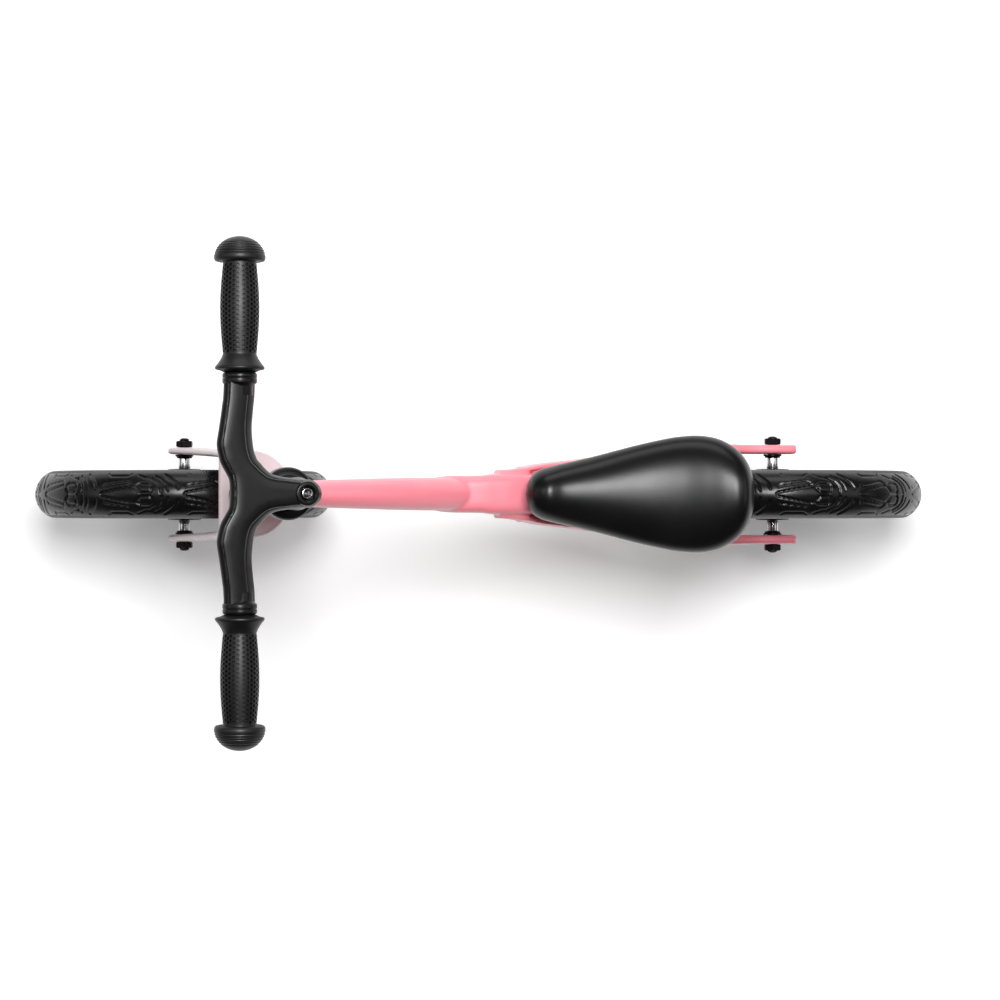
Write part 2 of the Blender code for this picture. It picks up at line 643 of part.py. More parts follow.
def wheel(end, axis):
    turned(end + "_tyre", tyre_profile(), FOAM, axis, ring=True)
    turned(end + "_rim", [
        (RIM_IN_R, RIM_HALF - 0.001), (RIM_IN_R + 0.004, RIM_HALF), (SEAT_FACE_R - GAP, RIM_HALF),
        (SEAT_FACE_R - GAP, -RIM_HALF), (RIM_IN_R + 0.004, -RIM_HALF), (RIM_IN_R, -RIM_HALF + 0.001),
    ], RIM_BLACK, axis, ring=True)
    hub = turned(end + "_hub", [
        (0, HUB_HALF), (HUB_R, HUB_HALF), (HUB_R + 0.0015, 0.014), (HUB_R + 0.0015, -0.014),
        (HUB_R, -HUB_HALF), (0, -HUB_HALF),
    ], RIM_BLACK, axis, steps=MIDDLE_TURN)
    combine(hub, [spokes(end + "_spokes", axis)], "UNION")
    pocket = HUB_HALF - BEARING_WIDE - 0.0008
    beyond = tube(end + "_beyond_spokes", -0.03, 0.03, SEAT_FACE_R + 0.01, RIM_IN_R - GAP, RIM_BLACK, axis,
                  TURN, tool=True)
    cutters = [beyond, rod(end + "_hub_bore", -0.03, 0.03, SLEEVE_R + 0.001, RIM_BLACK, axis, SMALL_TURN, tool=True)]
    for side in (1, -1):
        low, high = sorted((side * pocket, side * 0.03))
        cutters.append(rod(end + "_pocket", low, high, BEARING_R + GAP, RIM_BLACK, axis, MIDDLE_TURN, tool=True))
    combine(hub, cutters, "DIFFERENCE")
    for side, hand in ((1, "left"), (-1, "right")):
        low, high = sorted((side * (pocket + GAP), side * (pocket + GAP + BEARING_WIDE)))
        tube(f"{end}_bearing_{hand}", low, high, BEARING_R, AXLE_BORE_R, STEEL, axis, SMALL_TURN)
    tube(end + "_bearing_sleeve", -pocket, pocket, SLEEVE_R, AXLE_BORE_R, STEEL, axis, SMALL_TURN)


def axle(end, axis, arm_in, arm_out, half_long):
    turned(end + "_axle", [
        (0, half_long), (AXLE_R - 0.0008, half_long), (AXLE_R, half_long - 0.0008),
        (AXLE_R, 0.0008 - half_long), (AXLE_R - 0.0008, -half_long), (0, -half_long),
    ], BLACK_STEEL, axis, steps=SMALL_TURN)
    washer_low = arm_in - GAP - WASHER_THICK
    for turn, hand in ((0, "left"), (math.pi, "right")):
        mount = empty(f"{end}_{hand}_side", (0, 0, 0), (turn, 0, 0))
        mount.parent = axis
        tube(f"{end}_spacer_{hand}", HUB_HALF + GAP, washer_low - GAP, SPACER_R, AXLE_BORE_R, STEEL, mount,
             SMALL_TURN)
        tube(f"{end}_washer_{hand}", washer_low, arm_in - GAP, WASHER_R, AXLE_BORE_R, BLACK_STEEL, mount,
             SMALL_TURN)
        hexagon(f"{end}_nut_{hand}", NUT_ACROSS, arm_out + GAP, arm_out + GAP + NUT_THICK, AXLE_BORE_R,
                BLACK_STEEL, mount)


# Seat

def seat_half_width(along):
    """Half the seat's width at a distance back from its nose."""
    front = 0.0213 * math.sqrt(min(1.0, along / 0.0124) * (2 - min(1.0, along / 0.0124)))
    flank = [(0.0124, 0.0213), (0.030, 0.0267), (0.0656, 0.0350), (0.101, 0.0443), (0.1365, 0.0513),
             (0.154, SEAT_HALF)]
    if along <= 0.0124:
        return front
    if along <= 0.154:
        return between(flank, along)
    back = (along - 0.154) / (SEAT_LONG - 0.154)
    return SEAT_HALF * max(0.0, 1 - back ** 2.2) ** 0.5


def seat_top(along):
    """Height of the seat's middle line: low at the nose, lifted at the rear."""
    return between([(0, 0.3360), (0.010, 0.3450), (0.030, 0.3500), (0.080, 0.3515), (0.130, 0.3530),
                    (0.165, 0.3560), (0.185, 0.3530), (SEAT_LONG, 0.3400)], along)


def seat_pad():
    places = [0.0006, 0.004, 0.0124, 0.030, 0.0656, 0.101, 0.1365, 0.154, 0.170, 0.183, 0.192, 0.198, 0.2006]
    rings = []
    for along in places:
        half = seat_half_width(along)
        top = seat_top(along)
        x = SEAT_NOSE_X - along
        ring = []
        for step in range(11):
            angle = math.pi * step / 10
            across = half * math.copysign(abs(math.cos(angle)) ** 0.75, math.cos(angle))
            ring.append(Vector((x, across, SEAT_UNDER + 0.008 + (top - SEAT_UNDER - 0.008) * math.sin(angle) ** 0.8)))
        for share in (-0.94, -0.45, 0.0, 0.45, 0.94):
            ring.append(Vector((x, half * share, SEAT_UNDER)))
        rings.append(ring)
    loft("seat_pad", rings, SEAT_BLACK)


def seat_bolt_spots():
    return [(x, y) for x in (-0.1216, -0.1656) for y in (0.013, -0.013)]


def seat_hardware():
    outline = []
    for side in (1, -1):
        steps = range(2, 15) if side == 1 else range(14, 1, -1)
        for step in steps:
            along = SEAT_LONG * step / 16
            outline.append((SEAT_NOSE_X - along, side * (seat_half_width(along) - 0.004)))
    base = prism("seat_base", outline, BASE_UNDER, SEAT_UNDER - GAP, BLACK)
    post = tube("seat_post", 0.040, 0.1560, POST_R, 0.0108, STEEL, SEAT_AXIS, MIDDLE_TURN)
    plate = prism("post_plate", rounded_box(-0.1436, 0, 0.034, 0.020, 0.006), PLATE_UNDER, BASE_UNDER - GAP,
                  STEEL, tool=True)
    above = box("above_plate", (-0.25, -0.05, BASE_UNDER - 0.0010), (-0.05, 0.05, 0.36), STEEL, tool=True)
    combine(post, [above], "DIFFERENCE")
    combine(post, [plate], "UNION")
    drills = []
    for x, y in seat_bolt_spots():
        hole = rod("bolt_drill", 0.30, 0.3165, 0.0025 + GAP, STEEL, None, SMALL_TURN, tool=True)
        hole.location = (x, y, 0)
        drills.append(hole)
    combine(base, drills, "DIFFERENCE")
    combine(post, drills, "DIFFERENCE")
    names = ("front_left", "front_right", "rear_left", "rear_right")
    for name, (x, y) in zip(names, seat_bolt_spots()):
        bolt = turned("seat_bolt_" + name, [
            (0, 0.3160), (0.0025, 0.3160), (0.0025, PLATE_UNDER - GAP), (0.0045, PLATE_UNDER - GAP),
            (0.0045, PLATE_UNDER - 0.0025), (0.0032, PLATE_UNDER - 0.0035), (0, PLATE_UNDER - 0.0035),
        ], BLACK_STEEL, None, steps=SMALL_TURN)
        bolt.location = (x, y, 0)


def rounded_box(x, y, half_x, half_y, corner):
    points = []
    for quarter, (sx, sy) in enumerate(((1, 1), (-1, 1), (-1, -1), (1, -1))):
        for step in range(4):
            angle = math.pi / 2 * (quarter + step / 3)
            points.append((x + sx * (half_x - corner) + corner * math.cos(angle),
                           y + sy * (half_y - corner) + corner * math.sin(angle)))
    return points


def seat_clamp():
    """A split band round the top of the seat tube, with two ears behind and a bolt through them."""
    low = SEAT_TUBE_LONG - 0.017
    high = SEAT_TUBE_LONG - 0.001
    band = rod("seat_clamp", low, high, 0.0190, BLACK, SEAT_AXIS, MIDDLE_TURN)
    ears = box("clamp_ears", (-0.0300, -0.0070, low), (-0.0150, 0.0070, high), BLACK, SEAT_AXIS, tool=True)
    combine(band, [ears], "UNION")
    bore = rod("clamp_bore", 0.10, 0.16, SEAT_TUBE_R + GAP, BLACK, SEAT_AXIS, MIDDLE_TURN, tool=True)
    split = box("clamp_split", (-0.04, -0.0012, 0.10), (-0.010, 0.0012, 0.16), BLACK, SEAT_AXIS, tool=True)
    hole = rod("clamp_bolt_hole", -0.02, 0.02, 0.0025 + GAP, BLACK, SEAT_AXIS, SMALL_TURN, tool=True)
    hole.rotation_euler = (-math.pi / 2, 0, 0)
    hole.location = (-0.0250, 0, (low + high) / 2)
    combine(band, [bore, split, hole], "DIFFERENCE")
    bolt = turned("seat_clamp_bolt", [
        (0, 0.0113), (0.0042, 0.0113), (0.0042, 0.0073), (0.0025, 0.0073), (0.0025, -0.0100), (0, -0.0100),
    ], BLACK_STEEL, SEAT_AXIS, steps=SMALL_TURN)
    bolt.rotation_euler = (-math.pi / 2, 0, 0)
    bolt.location = (-0.0250, 0, (low + high) / 2)


frame()
fork()
headset()
handlebar()
quill()
grip(1, "grip_left")
grip(-1, "grip_right")
wheel("front", FRONT_AXIS)
wheel("rear", REAR_AXIS)
axle("front", FRONT_AXIS, LEG_OUT_AXLE - LEG_THICK, LEG_OUT_AXLE, 0.0545)
axle("rear", REAR_AXIS, ARM_OUT - ARM_THICK, ARM_OUT, 0.0562)
seat_pad()
seat_hardware()
seat_clamp()
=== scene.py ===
"""The finish of a child's balance bike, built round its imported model.

Every piece is made here at its place in the bike's frame: metres, +X the way it rides, +Y the rider's left.
"""

import json
import math

import bmesh
import bpy
import numpy as np
from mathutils import Matrix, Vector


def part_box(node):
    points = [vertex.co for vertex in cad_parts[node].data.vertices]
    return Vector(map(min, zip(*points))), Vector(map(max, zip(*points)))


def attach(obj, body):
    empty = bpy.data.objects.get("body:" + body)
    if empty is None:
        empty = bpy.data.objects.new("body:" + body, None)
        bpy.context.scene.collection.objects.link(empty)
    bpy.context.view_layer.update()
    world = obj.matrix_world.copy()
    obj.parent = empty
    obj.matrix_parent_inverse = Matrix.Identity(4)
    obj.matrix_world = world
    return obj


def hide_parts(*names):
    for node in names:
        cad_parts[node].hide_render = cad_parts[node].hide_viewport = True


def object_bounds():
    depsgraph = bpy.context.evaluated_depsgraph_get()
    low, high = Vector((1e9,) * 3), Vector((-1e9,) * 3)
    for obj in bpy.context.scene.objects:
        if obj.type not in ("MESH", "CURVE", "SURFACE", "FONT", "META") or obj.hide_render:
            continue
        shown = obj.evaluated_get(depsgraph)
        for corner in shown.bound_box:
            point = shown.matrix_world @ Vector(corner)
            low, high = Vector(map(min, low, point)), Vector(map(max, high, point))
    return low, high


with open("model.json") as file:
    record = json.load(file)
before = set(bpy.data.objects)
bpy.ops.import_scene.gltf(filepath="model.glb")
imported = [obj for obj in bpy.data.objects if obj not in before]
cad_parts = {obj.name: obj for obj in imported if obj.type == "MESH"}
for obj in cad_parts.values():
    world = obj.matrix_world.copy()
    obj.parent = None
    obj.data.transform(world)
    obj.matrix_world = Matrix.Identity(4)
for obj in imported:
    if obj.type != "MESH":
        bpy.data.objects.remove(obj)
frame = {"nodes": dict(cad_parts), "record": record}
CAD_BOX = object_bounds()

MM = 0.001
GAP = 0.3 * MM
JOINTS = {joint["name"]: joint for joint in frame["record"]["behaviour"]["joints"]}


# ---------------------------------------------------------------- places and shapes

def placing(origin, up, ahead=(1, 0, 0)):
    """The matrix whose Z runs along `up` from `origin`, and whose X is as near as can be to `ahead`."""
    up = Vector(up).normalized()
    side = up.cross(Vector(ahead)).normalized()
    fore = side.cross(up)
    matrix = Matrix((fore, side, up)).transposed().to_4x4()
    matrix.translation = Vector(origin)
    return matrix


def steering_foot():
    """Where the steering axis meets the ground."""
    at = Vector(JOINTS["steering"]["pos_m"])
    up = Vector(JOINTS["steering"]["axis"])
    return at - up * (at.z / up.z)


STEER = placing(steering_foot(), JOINTS["steering"]["axis"])
FRONT_HUB = Vector(JOINTS["front_wheel_spin"]["pos_m"])
REAR_HUB = Vector(JOINTS["rear_wheel_spin"]["pos_m"])
SEAT_UP = Vector(JOINTS["seat_height"]["axis"])
SEAT_LINE = placing((-0.108, 0, 0.165), SEAT_UP)
BAR_LOW, BAR_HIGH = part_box("grip_left")
BAR_X = (BAR_LOW.x + BAR_HIGH.x) / 2
BAR_Z = (BAR_LOW.z + BAR_HIGH.z) / 2


def make(name, mesh, finish, angle=40):
    """An object of this mesh, with its doubles merged, its faces turned outwards and its finish on."""
    bm = bmesh.new()
    bm.from_mesh(mesh)
    bmesh.ops.remove_doubles(bm, verts=bm.verts, dist=1e-6)
    bmesh.ops.recalc_face_normals(bm, faces=bm.faces)
    bm.to_mesh(mesh)
    bm.free()
    mesh.shade_smooth()
    mesh.set_sharp_from_angle(angle=math.radians(angle))
    mesh.materials.clear()
    mesh.materials.append(finish)
    obj = bpy.data.objects.new(name, mesh)
    bpy.context.scene.collection.objects.link(obj)
    return obj


def mesh_of(name, points, faces):
    mesh = bpy.data.meshes.new(name)
    mesh.from_pydata([tuple(point) for point in points], [], [tuple(face) for face in faces])
    return mesh


def skin(name, rings, finish, angle=40, around=False):
    """A smooth skin over rings of equal count; the ends are capped, or joined where it goes right round."""
    rings = np.asarray(rings, float)
    count, size = rings.shape[:2]
    index = np.arange(count * size).reshape(count, size)
    near = index if around else index[:-1]
    far = np.roll(index, -1, axis=0) if around else index[1:]
    quads = np.stack([near, np.roll(near, -1, 1), np.roll(far, -1, 1), far], axis=-1).reshape(-1, 4).tolist()
    if not around:
        quads += [index[0][::-1].tolist(), index[-1].tolist()]
    return make(name, mesh_of(name, rings.reshape(-1, 3), quads), finish, angle)


def softened(points, radius=0.6 * MM, ring=False, steps=3):
    """A turned outline with its corners rounded; the ends of an open one stay as they are."""
    corners = [np.array(point) for point in points]
    out = []
    for i, at in enumerate(corners):
        if not ring and i in (0, len(corners) - 1):
            out.append(tuple(at))
            continue
        back = corners[i - 1] - at
        on = corners[(i + 1) % len(corners)] - at
        far_back, far_on = np.linalg.norm(back), np.linalg.norm(on)
        reach = min(radius, far_back * 0.45, far_on * 0.45)
        start = at + back / far_back * reach
        end = at + on / far_on * reach
        for t in np.linspace(0, 1, steps + 1):
            out.append(tuple((1 - t) ** 2 * start + 2 * t * (1 - t) * at + t * t * end))
    return out


def turned(name, outline, place, finish, segments=96, ring=False, angle=40):
    """The outline of (radius, height) points turned about the Z of `place`; a ring is closed on itself."""
    turns = [2 * math.pi * i / segments for i in range(segments)]
    poles = [] if ring else [outline[0], outline[-1]]
    middle = [p for p in outline if p[0] > 1e-7]
    points = [place @ Vector((r * math.cos(a), r * math.sin(a), h)) for a in turns for r, h in middle]
    size = len(middle)
    faces = []
    for i in range(segments):
        j = (i + 1) % segments
        for k in range(size if ring else size - 1):
            n = (k + 1) % size
            faces.append((i * size + k, i * size + n, j * size + n, j * size + k))
    for end, k in zip(poles, (0, size - 1)):
        if end[0] <= 1e-7:
            points.append(place @ Vector((0, 0, end[1])))
            pole = len(points) - 1
            faces += [(i * size + k, ((i + 1) % segments) * size + k, pole) for i in range(segments)]
        else:
            faces.append([i * size + k for i in range(segments)])
    return make(name, mesh_of(name, points, faces), finish, angle)


def ring_of(name, points, radius, place, finish, segments=96, angle=40):
    """A turned ring with rounded corners."""
    return turned(name, softened(points, radius, ring=True), place, finish, segments, True, angle)


def lathe_rings(stations, angle, place):
    """Rings at (radius, height) stations about the Z of `place`; a radius may differ from angle to angle."""
    rings = [np.stack([radius * np.cos(angle), radius * np.sin(angle), 0 * angle + height], 1)
             for radius, height in stations]
    return np.array(rings) @ np.array(place.to_3x3()).T + np.array(place.translation)


def oval(centre, across, up, half_across, half_up, power=2.0, count=48):
    """A ring of points: power 2 is an ellipse, and more is a rounded rectangle."""
    angle = 2 * np.pi * (np.arange(count) + 0.5) / count
    cos, sin = np.cos(angle), np.sin(angle)
    a = half_across * np.sign(cos) * np.abs(cos) ** (2 / power)
    b = half_up * np.sign(sin) * np.abs(sin) ** (2 / power)
    return np.asarray(centre) + a[:, None] * np.asarray(across) + b[:, None] * np.asarray(up)


def through(stations, count):
    """Evenly numbered rows on a smooth curve through the stations, however many numbers each holds."""
    rows = np.asarray(stations, float)
    at = np.linspace(0, len(rows) - 1, count)
    i = np.minimum(at.astype(int), len(rows) - 2)
    t = (at - i)[:, None]
    padded = np.vstack([2 * rows[0] - rows[1], rows, 2 * rows[-1] - rows[-2]])
    a, b, c, d = (padded[i + k] for k in range(4))
    bend = 2 * a - 5 * b + 4 * c - d
    twist = 3 * b - a - 3 * c + d
    return 0.5 * (2 * b + (c - a) * t + bend * t ** 2 + twist * t ** 3)


def baked(obj):
    """The object's mesh with its modifiers applied, as a plain mesh."""
    graph = bpy.context.evaluated_depsgraph_get()
    mesh = bpy.data.meshes.new_from_object(obj.evaluated_get(graph))
    obj.modifiers.clear()
    obj.data = mesh
    return obj


def drop(*objects):
    for obj in objects:
        bpy.data.objects.remove(obj, do_unlink=True)


def cut(obj, tools, operation="DIFFERENCE"):
    """The tools taken from the object, or joined to it, and then removed."""
    for tool in tools:
        modifier = obj.modifiers.new(tool.name, "BOOLEAN")
        modifier.operation = operation
        modifier.object = tool
        modifier.solver = "EXACT"
    baked(obj)
    drop(*tools)
    return obj


def cast(obj, grain, smooth=3):
    """Remade as one skin with small fillets where its parts meet, as a casting or a welded joint has."""
    remesh = obj.modifiers.new("skin", "REMESH")
    remesh.mode = "VOXEL"
    remesh.voxel_size = grain
    relax = obj.modifiers.new("relax", "SMOOTH")
    relax.iterations = smooth
    relax.factor = 0.5
    baked(obj)
    obj.data.shade_smooth()
    return obj


def remade(obj, name, finish, angle):
    """The object again under its own name, with its edges sharpened afresh after the cuts."""
    finished = make(name, obj.data.copy(), finish, angle)
    drop(obj)
    return finished


def worn(obj, body, slot, *nodes):
    """The piece rides on its body and stands for its CAD nodes; the slot is not used."""
    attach(obj, body)
    if nodes:
        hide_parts(*nodes)
    return obj


# ---------------------------------------------------------------- finishes

def linear(code):
    """An sRGB hex colour as linear red, green, blue and alpha."""
    parts = [int(code[i:i + 2], 16) / 255 for i in (0, 2, 4)]
    return [c / 12.92 if c <= 0.04045 else ((c + 0.055) / 1.055) ** 2.4 for c in parts] + [1.0]


def add(tree, kind, links=None, **settings):
    """A node with its settings; links fill its inputs, by name or number, from outputs or with values."""
    item = tree.nodes.new(kind)
    for key, value in settings.items():
        setattr(item, key, value)
    for key, value in (links or {}).items():
        if isinstance(value, bpy.types.NodeSocket):
            tree.links.new(value, item.inputs[key])
        else:
            item.inputs[key].default_value = value
    return item


def begin(name, **values):
    """A material with only its shader; the values are constants on the shader's own sockets."""
    material = bpy.data.materials.new(name)
    material.use_nodes = True
    tree = material.node_tree
    tree.nodes.clear()
    shader = add(tree, "ShaderNodeBsdfPrincipled")
    for key, value in values.items():
        shader.inputs[key.replace("_", " ")].default_value = value
    output = add(tree, "ShaderNodeOutputMaterial")
    tree.links.new(shader.outputs["BSDF"], output.inputs["Surface"])
    place = add(tree, "ShaderNodeTexCoord").outputs["Object"]
    return material, tree, shader, place


def shade(tree, shader, factor, low, high, low_at=0.3, high_at=0.7):
    """Base colour that wanders between two close colours as the factor does."""
    ramp = add(tree, "ShaderNodeValToRGB", {"Fac": factor})
    ramp.color_ramp.elements[0].position = low_at
    ramp.color_ramp.elements[0].color = linear(low)
    ramp.color_ramp.elements[1].position = high_at
    ramp.color_ramp.elements[1].color = linear(high)
    tree.links.new(ramp.outputs["Color"], shader.inputs["Base Color"])


def vary(tree, shader, factor, low, high):
    """Roughness that wanders between two values as the factor does."""
    spread = add(tree, "ShaderNodeMapRange", {"Value": factor, "To Min": low, "To Max": high})
    tree.links.new(spread.outputs["Result"], shader.inputs["Roughness"])


def noise(tree, place, size, detail=2.0, roughness=0.5):
    """Noise whose blotches are about `size` metres across."""
    return add(tree, "ShaderNodeTexNoise", {
        "Vector": place, "Scale": 1 / size, "Detail": detail, "Roughness": roughness}).outputs["Fac"]


def relief(tree, shader, height, depth, strength=1.0, after=None):
    """Bump of a height field that runs from 0 to 1 over `depth` metres."""
    links = {"Height": height, "Distance": depth, "Strength": strength}
    if after is not None:
        links["Normal"] = after
    bump = add(tree, "ShaderNodeBump", links)
    tree.links.new(bump.outputs["Normal"], shader.inputs["Normal"])
    return bump.outputs["Normal"]


def powder_coat(name, low, high, roughness):
    """Powder coat baked on metal: an even colour with the fine orange peel that softens its highlights."""
    material, tree, shader, place = begin(name, IOR=1.5, Coat_Weight=0.25, Coat_Roughness=0.2)
    shade(tree, shader, noise(tree, place, 60 * MM), low, high)
    vary(tree, shader, noise(tree, place, 9 * MM), roughness - 0.03, roughness + 0.04)
    # The peel is drawn 1.6 mm across, a little coarse, so that it shows
    relief(tree, shader, noise(tree, place, 1.6 * MM, 1.0), 0.03 * MM, 0.35)
    return material


def eva_foam(name):
    """Moulded EVA foam: a closed skin with fine pores, semi-gloss where the mould was polished."""
    material, tree, shader, place = begin(name, IOR=1.49, Specular_IOR_Level=0.33)
    shade(tree, shader, noise(tree, place, 14 * MM, 4.0), "080808", "0E0E0E")
    vary(tree, shader, noise(tree, place, 6 * MM, 4.0), 0.22, 0.34)
    pores = add(tree, "ShaderNodeTexVoronoi", {"Vector": place, "Scale": 1 / (0.9 * MM)}).outputs["Distance"]
    fine = relief(tree, shader, pores, 0.05 * MM, 0.35)
    relief(tree, shader, noise(tree, place, 3 * MM, 3.0), 0.12 * MM, 0.4, fine)
    return material


def moulded(name, low, high, roughness, grain=0.7 * MM, depth=0.03 * MM):
    """Injection-moulded plastic: a spark-eroded grain that breaks up its sheen."""
    material, tree, shader, place = begin(name, IOR=1.46, Specular_IOR_Level=0.27)
    shade(tree, shader, noise(tree, place, 30 * MM), low, high)
    vary(tree, shader, noise(tree, place, 5 * MM), roughness - 0.05, roughness + 0.05)
    relief(tree, shader, noise(tree, place, grain, 2.0), depth, 0.5)
    return material


def seat_skin(name):
    """Integral-skin polyurethane: a smooth sealed skin, its leather-like grain fine enough to show as haze."""
    material, tree, shader, place = begin(name, IOR=1.5, Specular_IOR_Level=0.27)
    shade(tree, shader, noise(tree, place, 40 * MM), "0A0A0B", "0F0F10")
    vary(tree, shader, noise(tree, place, 8 * MM, 3.0), 0.27, 0.33)
    grain = add(tree, "ShaderNodeTexVoronoi", {"Vector": place, "Scale": 1 / (1.3 * MM)}).outputs["Distance"]
    relief(tree, shader, grain, 0.03 * MM, 0.3)
    return material


def soft_rubber(name):
    """Thermoplastic rubber: matt, faintly dusty in its hollows."""
    material, tree, shader, place = begin(name, IOR=1.5, Specular_IOR_Level=0.36)
    shade(tree, shader, noise(tree, place, 10 * MM, 3.0), "0C0C0C", "121112")
    vary(tree, shader, noise(tree, place, 4 * MM), 0.38, 0.48)
    relief(tree, shader, noise(tree, place, 0.6 * MM, 2.0), 0.04 * MM, 0.5)
    return material


def metal(name, low, high, roughness, streak=(1, 1, 1), size=1.2 * MM):
    """Turned or drawn steel: fine tool marks along one direction, stretched by `streak`."""
    material, tree, shader, place = begin(name, Metallic=1.0)
    stretch = add(tree, "ShaderNodeMapping", {"Vector": place, "Scale": streak}).outputs["Vector"]
    marks = noise(tree, stretch, size, 2.0)
    shade(tree, shader, marks, low, high)
    vary(tree, shader, marks, roughness - 0.04, roughness + 0.08)
    relief(tree, shader, marks, 0.01 * MM, 0.3)
    return material


PINK = powder_coat("satin_pink_powder_coat", "F18592", "F48B98", 0.38)
PALE = powder_coat("satin_pale_pink_powder_coat", "D0BFC3", "D7C7CA", 0.4)
FOAM = eva_foam("black_moulded_eva_foam")
RIM_NYLON = moulded("black_glass_filled_nylon", "121213", "191919", 0.44)
BAR_COAT = moulded("black_satin_coated_bar", "0C0B0C", "100F10", 0.3, 0.5 * MM, 0.02 * MM)
COVER_PLASTIC = moulded("black_satin_abs", "0E0E0F", "131214", 0.34)
GRIP_RUBBER = soft_rubber("black_thermoplastic_rubber")
SEAT_SKIN = seat_skin("black_integral_skin_polyurethane")
BRIGHT = metal("polished_turned_steel", "B8B8BA", "D2D2D4", 0.16, (1, 6, 1))
CHROMED = metal("chromed_bolt_steel", "98989A", "B0B0B2", 0.22)
BLACK_ZINC = metal("black_zinc_plated_steel", "1C1B1C", "2C2B2D", 0.38)
BEARING_STEEL = metal("ground_bearing_steel", "A8A8AA", "C0C0C2", 0.2)


# ---------------------------------------------------------------- repeated shapes

def node_group(name, floats, integers, finish):
    """A Geometry Nodes group with named inputs, and their sockets inside it."""
    tree = bpy.data.node_groups.new(name, "GeometryNodeTree")
    face = tree.interface
    face.new_socket("Geometry", in_out="INPUT", socket_type="NodeSocketGeometry")
    for kind, values in (("Float", floats), ("Int", integers), ("Material", {"Finish": finish})):
        for label, value in values.items():
            face.new_socket(label, in_out="INPUT", socket_type="NodeSocket" + kind).default_value = value
    face.new_socket("Geometry", in_out="OUTPUT", socket_type="NodeSocketGeometry")
    return tree, add(tree, "NodeGroupInput").outputs


def maths(tree, kind, a, b=0.0):
    return add(tree, "ShaderNodeMath", {0: a, 1: b}, operation=kind).outputs[0]


def made_real(tree, given, points, piece, turn):
    """The piece at every point, turned, realised and coated, at the group's output."""
    copies = add(tree, "GeometryNodeInstanceOnPoints", {
        "Points": points, "Instance": piece, "Rotation": turn}).outputs[0]
    real = add(tree, "GeometryNodeRealizeInstances", {"Geometry": copies}).outputs[0]
    coated = add(tree, "GeometryNodeSetMaterial", {"Geometry": real, "Material": given["Finish"]}).outputs[0]
    add(tree, "NodeGroupOutput", {0: coated})
    return tree


# ---------------------------------------------------------------- tyres

TYRE_R = (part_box("front_tyre")[1].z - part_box("front_tyre")[0].z) / 2
TYRE_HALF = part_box("front_tyre")[1].y
TREAD_REPEATS = 11
TREAD_LONG = 2 * math.pi * TYRE_R / TREAD_REPEATS / MM
# How far round each tyre its pattern starts, in degrees up from straight ahead
TREAD_START = {"front": 64.0, "rear": 85.6}

# One repeat of the tread on one side of the centre line, in mm: back along the tyre, then out from its centre
# line. Each stroke is a moulded line of its own width and depth, and each is mirrored on the other side.
TREAD_STROKES = [
    (1.8, 1.2, [(0, 0), (1.5, 1.8), (32, 8.6), (36, 7.2), (38.5, 3.5)]),
    (1.7, 1.0, [(2, 7), (3, 8.6), (28, 12.8), (32, 10.5)]),
    (2.0, 1.2, [(39, 5), (40.5, 1.8), (49, 1.5), (51, 3.5), (51, 8.6), (48.5, 10.2), (40, 10.4), (36.5, 8)]),
    (2.7, 1.3, [(50, 15.5), (56, 12), (59.5, 7), (60, 2)]),
    (1.7, 1.0, [(53, 18.5), (60, 14.5), (64.5, 9), (66, 3.5)]),
    (2.4, 1.2, [(62, 21), (68, 16), (73, 11), (75.5, 6)]),
    (1.5, 0.9, [(4, 21.5), (8, 18.5), (26, 18.5), (30, 21.5)]),
    (1.5, 0.9, [(36, 20), (44, 16), (50, 15.5)]),
]


def tread_depth(along, out):
    """Depth of the tread below the tyre's skin, in mm, at places given in mm."""
    out = np.abs(out)
    depth = np.zeros_like(out)
    for width, deep, points in TREAD_STROKES:
        nearest = np.full_like(out, 99.0)
        for a, b in zip(points, points[1:]):
            for shift in (-TREAD_LONG, 0, TREAD_LONG):
                dx, dy = b[0] - a[0], b[1] - a[1]
                px, py = along - a[0] - shift, out - a[1]
                t = np.clip((px * dx + py * dy) / (dx * dx + dy * dy), 0, 1)
                nearest = np.minimum(nearest, np.hypot(px - t * dx, py - t * dy))
        depth = np.maximum(depth, deep * np.clip(1.4 - nearest / (width / 2), 0, 1))
    ribs = 0.5 + 0.5 * np.cos(2 * np.pi * along / (TREAD_LONG / 32))
    shoulder = np.clip((out - 22.5) / 1.5, 0, 1) * np.clip((30.0 - out) / 1.5, 0, 1)
    return np.maximum(depth, 0.45 * ribs * shoulder)


def tyre_section():
    """Points round the tyre's section as (radius, across), and each one's place out from the crown in mm."""
    shoulder = TYRE_R - 19.5 * MM
    crown = []
    for step in range(65):
        angle = math.pi * step / 64
        cos, sin = math.cos(angle), math.sin(angle)
        across = -TYRE_HALF * math.copysign(abs(cos) ** 1.06, cos)
        crown.append((shoulder + 19.5 * MM * sin ** 1.06, across))
    wall = through([(shoulder, TYRE_HALF), (0.1172, 0.0219), (0.1110, 0.0200), (0.1070, 0.0172),
                    (0.1050, 0.0156), (0.1046, 0.0148)], 7)[1:]
    other = [(r, -y) for r, y in wall[::-1]]
    points = np.array(crown + [tuple(p) for p in wall] + [(0.1046, 0)] + other)
    steps = np.linalg.norm(np.diff(points, axis=0), axis=1)
    arc = np.concatenate([[0], np.cumsum(steps)]) / MM
    return points, arc - arc[32]


